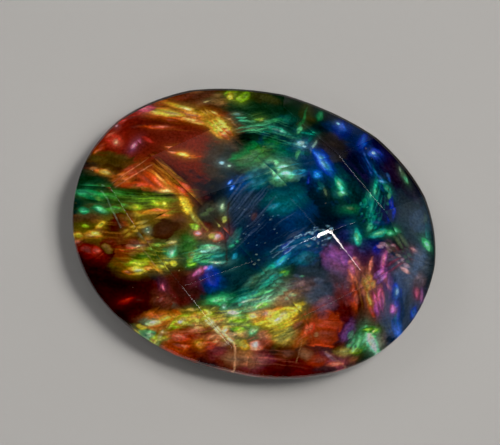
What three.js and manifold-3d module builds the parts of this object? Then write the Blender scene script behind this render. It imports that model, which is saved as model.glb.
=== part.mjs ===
// An oval ammolite gem: a thin sheet of iridescent shell on a dark shale base,
// under a clear quartz cap that is cut in a checkerboard of flat facets.
// Millimetres, +Z up, long axis along X. The origin is the centre of the flat base.

import * as THREE from 'three';
import { mergeVertices } from 'three/addons/utils/BufferGeometryUtils.js';
import Module from 'manifold-3d';

// The oval outline, a superellipse a little fuller than an ellipse
const LENGTH = 20;
const WIDTH = 16;
const OUTLINE_EXPONENT = 2.114;
const OUTLINE_STEPS = 120;

// The layers, from the base up
const BASE_THICKNESS = 1.0;
const SHELL_THICKNESS = 0.4;
const GIRDLE_BAND = 0.45;
const CROWN_HEIGHT = 3.0;

// How far each layer's edge stands inside the cap's outline
const SHELL_INSET = 0.2;
const BASE_FOOT_INSET = 1.2;

// Levels worked out from the layers. Crown heights are counted from the girdle level.
const SHELL_LEVEL = BASE_THICKNESS;
const CAP_LEVEL = SHELL_LEVEL + SHELL_THICKNESS;
const GIRDLE_LEVEL = CAP_LEVEL + GIRDLE_BAND;

// A facet is a flat cut: the compass direction that it faces, how steeply it falls, both in
// degrees, and the height over the girdle level at which its plane crosses the stone's axis.
const MAIN_CUT = { facing: 54.9, fall: 14.5, height: 3.55 };
const SIDE_CUT = { facing: 90, fall: 24.8, height: 4.2 };
const END_CUT = { facing: 0, fall: 17, height: 4.13 };

// The three cuts from the checkerboard down to the girdle in a quarter of the stone. They were
// cut by hand, and the quarter at +X +Y came out a little flatter than the other three.
const GIRDLE_CUTS = [
  { facing: 77.0, fall: 35.2, height: 5.77 },
  { facing: 52.4, fall: 32.6, height: 5.71 },
  { facing: 24.2, fall: 34.5, height: 6.78 },
];
const FLATTER_GIRDLE_CUTS = [
  { facing: 77.5, fall: 34.9, height: 5.73 },
  { facing: 52.4, fall: 31.0, height: 5.52 },
  { facing: 22.4, fall: 32.2, height: 6.43 },
];

// The block that a cut takes away, and the spare height of the blank above the finished table
const CUT_BLOCK = 60;
const BLANK_ALLOWANCE = 0.5;

const COLOURS = { cap: 0xe6ecee, shell: 0x2a6a7e, base: 0x1d1a18 };

const wasm = await Module();
wasm.setup();

/** A corner of the outline at an angle in radians, moved inwards by inset. */
function outlinePoint(angle, inset) {
  const power = 2 / OUTLINE_EXPONENT;
  const along = Math.cos(angle);
  const across = Math.sin(angle);
  return new THREE.Vector2(
    (LENGTH / 2 - inset) * Math.sign(along) * Math.abs(along) ** power,
    (WIDTH / 2 - inset) * Math.sign(across) * Math.abs(across) ** power,
  );
}

/** An upright oval slab between two levels. */
function ovalSlab(inset, bottom, top) {
  const points = [];
  for (let step = 0; step < OUTLINE_STEPS; step += 1) {
    points.push(outlinePoint((2 * Math.PI * step) / OUTLINE_STEPS, inset));
  }
  const shape = new THREE.Shape(points);
  const slab = new THREE.ExtrudeGeometry(shape, { depth: top - bottom, bevelEnabled: false });
  return slab.translate(0, 0, bottom);
}

/** Draws a slab's underside in, so that its wall slopes inwards to a smaller foot. */
function taperFoot(slab, inset, footInset) {
  const scaleX = (LENGTH / 2 - footInset) / (LENGTH / 2 - inset);
  const scaleY = (WIDTH / 2 - footInset) / (WIDTH / 2 - inset);
  const position = slab.getAttribute('position');
  for (let index = 0; index < position.count; index += 1) {
    if (position.getZ(index) === 0) {
      position.setX(index, position.getX(index) * scaleX);
      position.setY(index, position.getY(index) * scaleY);
    }
  }
  return slab;
}

/** Turns a closed three.js geometry into a solid that can be cut. */
function toSolid(geometry) {
  const bare = geometry.clone();
  bare.deleteAttribute('normal');
  bare.deleteAttribute('uv');
  const merged = mergeVertices(bare);
  return new wasm.Manifold(new wasm.Mesh({
    numProp: 3,
    vertProperties: new Float32Array(merged.getAttribute('position').array),
    triVerts: new Uint32Array(merged.index.array),
  }));
}

/** Turns a cut solid back into a three.js geometry. */
function toGeometry(solid) {
  const { vertProperties, triVerts } = solid.getMesh();
  const geometry = new THREE.BufferGeometry();
  geometry.setAttribute('position', new THREE.BufferAttribute(vertProperties, 3));
  geometry.setIndex(new THREE.BufferAttribute(triVerts, 1));
  geometry.computeVertexNormals();
  return geometry;
}

/** The block above a cut's plane, which the cut takes away. */
function wasteBlock({ facing, fall, height }) {
  const block = new THREE.BoxGeometry(CUT_BLOCK, CUT_BLOCK, CUT_BLOCK);
  block.translate(0, 0, CUT_BLOCK / 2);
  block.rotateY(THREE.MathUtils.degToRad(fall));
  block.rotateZ(THREE.MathUtils.degToRad(facing));
  return block.translate(0, 0, GIRDLE_LEVEL + height);
}

/** The directions of a cut and its mirror images across the stone's long and short axes. */
function mirroredFacings(facing) {
  return new Set([facing, 180 - facing, 180 + facing, (360 - facing) % 360]);
}

/** Every cut of the crown: the flat table, the checkerboard, then the ring above the girdle. */
function crownCuts() {
  const cuts = [{ facing: 0, fall: 0, height: CROWN_HEIGHT }];
  for (const cut of [MAIN_CUT, SIDE_CUT, END_CUT]) {
    for (const facing of mirroredFacings(cut.facing)) {
      cuts.push({ ...cut, facing });
    }
  }
  for (const cut of GIRDLE_CUTS) {
    for (const facing of mirroredFacings(cut.facing)) {
      if (facing !== cut.facing) {
        cuts.push({ ...cut, facing });
      }
    }
  }
  return cuts.concat(FLATTER_GIRDLE_CUTS);
}

/** The clear cap: an oval blank with every facet cut from it. */
function capGeometry() {
  let solid = toSolid(ovalSlab(0, CAP_LEVEL, GIRDLE_LEVEL + CROWN_HEIGHT + BLANK_ALLOWANCE));
  for (const cut of crownCuts()) {
    solid = solid.subtract(toSolid(wasteBlock(cut)));
  }
  return toGeometry(solid);
}

/** The dark base, whose wall slopes in from the shell sheet to a flat foot. */
function baseGeometry() {
  return taperFoot(ovalSlab(SHELL_INSET, 0, BASE_THICKNESS), SHELL_INSET, BASE_FOOT_INSET);
}

/** One named piece of the gem. */
function piece(name, geometry, finish) {
  const mesh = new THREE.Mesh(geometry, new THREE.MeshStandardMaterial(finish));
  mesh.name = name;
  return mesh;
}

const gem = new THREE.Group();
gem.add(piece('quartz_cap', capGeometry(), {
  color: COLOURS.cap, roughness: 0.04, metalness: 0, transparent: true, opacity: 0.3,
}));
gem.add(piece('ammolite_sheet', ovalSlab(SHELL_INSET, SHELL_LEVEL, CAP_LEVEL), {
  color: COLOURS.shell, roughness: 0.3, metalness: 0.3,
}));
gem.add(piece('shale_base', baseGeometry(), {
  color: COLOURS.base, roughness: 0.75, metalness: 0,
}));

export default gem;
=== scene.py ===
"""A faceted oval ammolite gem: iridescent shell under a checkerboard-cut quartz cap, on dark shale."""

import logging
import math
from dataclasses import dataclass, field
from enum import Enum

import bmesh
import bpy
import numpy as np
from mathutils import Matrix, Vector


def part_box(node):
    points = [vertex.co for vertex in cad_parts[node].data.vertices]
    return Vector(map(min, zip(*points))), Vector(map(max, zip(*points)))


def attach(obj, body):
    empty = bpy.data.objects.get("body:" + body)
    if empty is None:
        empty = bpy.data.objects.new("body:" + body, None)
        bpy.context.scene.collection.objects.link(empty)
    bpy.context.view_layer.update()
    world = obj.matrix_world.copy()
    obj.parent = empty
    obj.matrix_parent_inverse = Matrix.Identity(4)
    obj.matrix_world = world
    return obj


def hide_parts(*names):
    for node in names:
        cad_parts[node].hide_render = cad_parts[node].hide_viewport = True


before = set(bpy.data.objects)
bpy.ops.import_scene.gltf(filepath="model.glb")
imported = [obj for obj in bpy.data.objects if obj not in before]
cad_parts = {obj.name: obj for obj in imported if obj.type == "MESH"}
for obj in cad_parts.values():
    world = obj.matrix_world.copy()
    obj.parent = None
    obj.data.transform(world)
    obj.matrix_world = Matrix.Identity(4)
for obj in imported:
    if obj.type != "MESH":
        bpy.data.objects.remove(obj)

LOG = logging.getLogger("ammolite")

MM = 0.001
OUTLINE_EXPONENT = 2.114
SEED = 11

# The curve between display values and linear light: a straight part for the darks, a power above it.
DARKS_END = 0.04045
DARKS_SLOPE = 12.92
LIFT = 0.055
LIGHTS_POWER = 2.4


class Hue(Enum):
    """The colours of the shell, as display values of red, green and blue."""

    SOOT = (0.13, 0.02, 0.01)
    UMBER = (0.24, 0.12, 0.05)
    EARTH = (0.40, 0.21, 0.13)
    SMOKE = (0.24, 0.22, 0.18)
    TAN = (0.76, 0.58, 0.38)
    WINE = (0.35, 0.06, 0.04)
    MAROON = (0.22, 0.03, 0.01)
    EMBER = (0.44, 0.12, 0.05)
    BRICK = (0.45, 0.17, 0.12)
    CRIMSON = (0.62, 0.12, 0.06)
    SCARLET = (0.92, 0.20, 0.10)
    CORAL = (1.00, 0.55, 0.42)
    PEACH = (1.00, 0.78, 0.58)
    RUST = (0.66, 0.23, 0.09)
    FLAME = (0.95, 0.33, 0.05)
    ORANGE = (0.92, 0.50, 0.13)
    AMBER = (0.97, 0.68, 0.20)
    GOLD = (1.00, 0.84, 0.16)
    YELLOW = (1.00, 0.96, 0.24)
    CREAM = (1.00, 0.97, 0.66)
    STRAW = (0.82, 0.74, 0.30)
    OLIVE = (0.32, 0.28, 0.08)
    MOSS = (0.20, 0.30, 0.08)
    SAGE = (0.36, 0.50, 0.36)
    LIME = (0.66, 0.92, 0.16)
    GREEN = (0.22, 0.64, 0.20)
    EMERALD = (0.05, 0.66, 0.36)
    FOREST = (0.08, 0.22, 0.14)
    MINT = (0.44, 0.94, 0.68)
    FROST = (0.78, 0.97, 0.86)
    TEAL = (0.04, 0.44, 0.44)
    DEEP_TEAL = (0.05, 0.20, 0.23)
    TURQUOISE = (0.08, 0.84, 0.70)
    CYAN = (0.08, 0.62, 0.80)
    ICE = (0.74, 0.94, 1.00)
    AZURE = (0.08, 0.46, 0.95)
    COBALT = (0.06, 0.20, 0.80)
    SAPPHIRE = (0.01, 0.24, 0.46)
    NAVY = (0.02, 0.14, 0.27)
    INK = (0.04, 0.10, 0.14)
    SLATE = (0.18, 0.25, 0.30)
    STEEL = (0.32, 0.40, 0.52)
    INDIGO = (0.12, 0.16, 0.42)
    VIOLET = (0.15, 0.12, 0.28)
    PLUM = (0.18, 0.10, 0.18)
    ORCHID = (0.72, 0.40, 0.78)
    MAUVE = (0.42, 0.34, 0.36)
    ROSE = (0.52, 0.20, 0.30)
    PINK = (0.98, 0.44, 0.62)
    BLUSH = (0.98, 0.76, 0.80)

    def linear(self) -> np.ndarray:
        """The colour in linear light."""
        return display_to_linear(np.array(self.value))


def display_to_linear(colour: np.ndarray) -> np.ndarray:
    """Turns display colour values into linear light.

    Args:
        colour: Values from 0 to 1 as a screen shows them.

    Returns:
        The same colours in linear light.
    """
    low = colour / DARKS_SLOPE
    high = ((colour + LIFT) / (1 + LIFT)) ** LIGHTS_POWER
    return np.where(colour <= DARKS_END, low, high)


@dataclass(frozen=True)
class Flash:
    """One patch of shell that lights up in a colour. Sizes are in millimetres, the turn in degrees."""

    x: float
    y: float
    length: float
    width: float
    turn: float
    hue: Hue
    soft: float = 0.35
    cover: float = 0.9
    grain: float = 0.45


@dataclass(frozen=True)
class CrackAndLightLine:
    """A thin line through a few points: an open crack in the shell is dark and a healed one pale; some pale
    lines are painted highlights of the cap's ridges.
    """

    points: tuple[tuple[float, float], ...]
    width: float
    hue: Hue
    cover: float = 0.8
    wander: float = 0.05


@dataclass(frozen=True)
class Striae:
    """A family of fine parallel lines over an oval patch of the shell."""

    x: float
    y: float
    length: float
    width: float
    turn: float
    hue: Hue
    count: int
    fineness: float = 0.03
    cover: float = 0.5


@dataclass(frozen=True)
class Crumbs:
    """Broken flakes scattered over an oval patch, each turned about the same way."""

    x: float
    y: float
    length: float
    width: float
    turn: float
    hues: tuple[Hue, ...]
    count: int
    size: float = 0.22
    cover: float = 0.75


@dataclass(frozen=True)
class PaintedLightPatch:
    """A soft-edged part of the shell painted brighter than the rest where its gain is above zero and darker
    where it is below: painted light and shade.
    """

    x: float
    y: float
    length: float
    width: float
    gain: float


@dataclass(frozen=True)
class Lay:
    """How the shell is broken around one place: the lie of its plates in degrees, and their size."""

    x: float
    y: float
    turn: float
    plate: float = 0.8
    narrow: float = 0.35
    contrast: float = 1.0


EMBER_CORNER = (
    Flash(-6.4, 4.2, 9.6, 7.0, 0, Hue.EMBER, 0.25, 1.0, 0.3),
    Flash(-8.6, 3.3, 2.2, 2.4, 60, Hue.CRIMSON, 0.7, 0.45, 0.3),
    Flash(-6.9, 4.7, 3.0, 1.2, -10, Hue.WINE, 0.7, 0.6, 0.3),
    Flash(-7.9, 4.6, 1.8, 0.5, 35, Hue.CRIMSON, 0.8, 0.5),
    Flash(-7.3, 4.0, 2.2, 0.35, 20, Hue.WINE, 0.8, 0.6),
    Flash(-4.9, 3.4, 4.2, 2.8, -8, Hue.BRICK, 0.6, 0.35, 0.3),
    Flash(-2.5, 3.2, 2.1, 3.0, 0, Hue.SMOKE, 0.6, 0.95, 0.2),
    Flash(-2.1, 3.0, 1.2, 2.4, 0, Hue.DEEP_TEAL, 0.7, 0.6, 0.2),
    Flash(-4.8, 6.75, 5.2, 1.5, 8, Hue.EARTH, 0.5, 0.95, 0.5),
    Flash(-5.4, 6.6, 1.2, 0.7, 30, Hue.RUST, 0.8, 0.5),
    Flash(-4.9, 6.95, 0.9, 0.3, 10, Hue.TAN, 0.8, 0.45),
    Flash(-3.1, 6.6, 1.6, 1.6, 90, Hue.OLIVE, 0.7, 0.8),
    Flash(-3.3, 6.1, 1.3, 0.4, 20, Hue.EARTH, 0.7, 0.6),
    Flash(-6.2, 5.75, 2.8, 0.55, 3, Hue.RUST, 0.6, 0.85),
    Flash(-5.7, 5.15, 4.0, 0.95, -3, Hue.FLAME, 0.5, 0.9, 0.8),
    Flash(-6.0, 4.72, 2.6, 0.24, -4, Hue.CRIMSON, 0.6, 0.85),
    Flash(-5.6, 5.55, 3.2, 0.14, -3, Hue.WINE, 0.4, 0.85),
    Flash(-6.05, 5.2, 2.3, 0.62, -1, Hue.ORANGE, 0.35, 1.0, 0.5),
    Flash(-6.1, 5.2, 1.9, 0.46, 0, Hue.GOLD, 0.3, 1.0, 0.4),
    Flash(-6.15, 5.21, 1.6, 0.34, 0, Hue.YELLOW, 0.3, 1.0, 0.4),
    Flash(-6.4, 5.22, 0.9, 0.22, 0, Hue.CREAM, 0.5, 0.9),
    Flash(-7.2, 5.12, 0.7, 0.2, 10, Hue.ORANGE, 0.5, 0.8),
    Flash(-5.4, 5.78, 2.4, 0.3, -7, Hue.AMBER, 0.4, 1.0, 0.5),
    Flash(-5.3, 5.77, 1.7, 0.17, -7, Hue.YELLOW, 0.4, 0.95),
    Flash(-4.9, 5.66, 0.9, 0.15, -8, Hue.CREAM, 0.5, 0.95),
    Flash(-6.4, 5.98, 0.8, 0.14, 6, Hue.ORANGE, 0.6, 0.7),
    Flash(-7.3, 5.32, 1.1, 0.75, 20, Hue.ROSE, 0.5, 0.9),
    Flash(-7.32, 5.36, 0.85, 0.5, 20, Hue.PINK, 0.5, 1.0),
    Flash(-7.4, 5.42, 0.45, 0.22, 20, Hue.BLUSH, 0.5, 0.8),
    Flash(-4.4, 5.0, 2.5, 0.6, -10, Hue.ORANGE, 0.5, 0.9, 0.8),
    Flash(-4.5, 5.32, 1.8, 0.15, -6, Hue.CORAL, 0.5, 0.8),
    Flash(-4.5, 4.82, 1.6, 0.16, -12, Hue.AMBER, 0.5, 0.8),
    Flash(-4.2, 5.6, 0.5, 0.18, -15, Hue.UMBER, 0.5, 0.8),
    Flash(-3.3, 5.45, 1.1, 0.22, 4, Hue.SCARLET, 0.5, 0.75),
    Flash(-3.25, 4.9, 1.8, 0.7, -32, Hue.AMBER, 0.4, 1.0, 0.5),
    Flash(-3.15, 4.85, 1.1, 0.42, -30, Hue.YELLOW, 0.4, 1.0, 0.5),
    Flash(-3.05, 4.85, 0.5, 0.2, -30, Hue.CREAM, 0.5, 0.8),
    Flash(-2.7, 4.5, 0.9, 0.26, -30, Hue.ORANGE, 0.5, 0.9),
    Flash(-3.85, 5.5, 0.9, 0.14, -28, Hue.AMBER, 0.5, 0.85),
    Flash(-2.6, 5.2, 0.9, 0.12, -30, Hue.TAN, 0.5, 0.6),
    Flash(-6.2, 4.12, 1.9, 0.22, 8, Hue.FLAME, 0.7, 0.65),
    Flash(-5.9, 4.2, 0.7, 0.1, 8, Hue.CORAL, 0.7, 0.7),
    Flash(-7.6, 4.9, 0.9, 0.2, 30, Hue.SCARLET, 0.7, 0.6),
    Flash(-8.2, 4.3, 0.5, 0.26, 40, Hue.SCARLET, 0.7, 0.6),
    Flash(-4.05, 6.25, 0.5, 0.11, 35, Hue.CREAM, 0.5, 0.8),
    Flash(-2.75, 7.1, 0.9, 1.0, 0, Hue.MOSS, 0.6, 0.7),
    Flash(-2.7, 7.15, 0.8, 0.7, 80, Hue.LIME, 0.6, 0.95, 0.6),
    Flash(-2.78, 7.18, 0.4, 0.36, 80, Hue.YELLOW, 0.6, 0.9),
    Flash(-1.6, 7.65, 0.5, 0.2, 0, Hue.STRAW, 0.6, 0.85),
    Flash(-8.4, 3.1, 1.2, 0.75, -15, Hue.SCARLET, 0.7, 0.9, 0.5),
    Flash(-8.25, 2.96, 0.5, 0.32, -25, Hue.CORAL, 0.5, 1.0),
    Flash(-8.22, 2.95, 0.24, 0.15, -25, Hue.PEACH, 0.5, 0.9),
    Flash(-8.7, 3.4, 0.6, 0.16, 40, Hue.CORAL, 0.7, 0.55),
    Flash(-8.45, 4.0, 0.14, 0.12, 0, Hue.BLUSH, 0.5, 0.9),
    Flash(-7.08, 2.8, 0.75, 0.38, 85, Hue.PINK, 0.5, 1.0),
    Flash(-7.08, 2.85, 0.4, 0.17, 85, Hue.BLUSH, 0.5, 0.8),
    Flash(-7.1, 2.5, 0.6, 0.3, 10, Hue.ROSE, 0.8, 0.6),
    Flash(-6.5, 3.2, 0.8, 0.2, -20, Hue.SCARLET, 0.7, 0.5),
    Flash(-9.1, 2.5, 0.8, 0.5, 50, Hue.RUST, 0.8, 0.8),
    Flash(-9.2, 2.3, 0.4, 0.18, 60, Hue.ORANGE, 0.6, 0.8),
    Flash(-8.0, 1.75, 3.8, 1.1, -3, Hue.OLIVE, 0.5, 0.85, 0.5),
    Flash(-8.0, 1.3, 2.6, 0.5, -4, Hue.UMBER, 0.6, 0.85),
    Flash(-9.0, 0.75, 2.4, 0.6, -4, Hue.FOREST, 0.5, 0.95),
    Flash(-8.45, 1.03, 1.4, 0.38, -4, Hue.ORANGE, 0.5, 0.95, 0.5),
    Flash(-8.35, 1.02, 0.85, 0.24, -4, Hue.GOLD, 0.5, 0.95),
    Flash(-8.25, 1.02, 0.4, 0.13, -4, Hue.CREAM, 0.5, 0.7),
    Flash(-9.1, 1.2, 0.5, 0.2, 10, Hue.TAN, 0.6, 0.7),
    Flash(-7.3, 1.0, 1.5, 0.4, 28, Hue.ORANGE, 0.6, 0.7, 0.8),
    Flash(-6.9, 1.5, 1.3, 0.35, 30, Hue.RUST, 0.6, 0.8),
    Flash(-6.1, 0.85, 2.8, 0.5, 8, Hue.FLAME, 0.5, 0.6, 0.8),
    Flash(-6.4, 0.72, 1.2, 0.2, 8, Hue.ORANGE, 0.5, 0.8),
    Flash(-5.9, 1.4, 1.6, 0.9, -20, Hue.RUST, 0.5, 0.8, 0.8),
    Flash(-4.9, 1.15, 2.8, 0.62, -22, Hue.FLAME, 0.35, 0.95, 0.9),
    Flash(-4.1, 1.02, 1.0, 0.42, -28, Hue.SCARLET, 0.4, 0.85),
    Flash(-5.3, 1.45, 1.6, 0.14, -32, Hue.AMBER, 0.5, 0.85),
    Flash(-4.8, 0.98, 1.3, 0.13, -28, Hue.ORANGE, 0.5, 0.85),
    Flash(-4.95, 0.8, 0.8, 0.28, 5, Hue.AMBER, 0.5, 0.95),
    Flash(-4.95, 0.8, 0.55, 0.17, 5, Hue.CREAM, 0.5, 0.95),
    Flash(-4.0, 0.82, 0.7, 0.14, -10, Hue.SCARLET, 0.5, 0.8),
    Flash(-4.95, 1.8, 3.0, 0.36, -33, Hue.MAROON, 0.3, 0.9),
    Flash(-4.6, 2.82, 0.9, 0.26, 0, Hue.ORANGE, 0.5, 0.85),
    Flash(-4.6, 2.81, 0.65, 0.14, 0, Hue.GOLD, 0.5, 0.95),
    Flash(-4.05, 2.86, 0.45, 0.2, 8, Hue.ORANGE, 0.5, 0.95),
    Flash(-5.2, 2.86, 0.5, 0.09, 0, Hue.ORANGE, 0.6, 0.6),
    Flash(-3.8, 2.95, 0.5, 0.1, 20, Hue.RUST, 0.6, 0.7),
)

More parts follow.
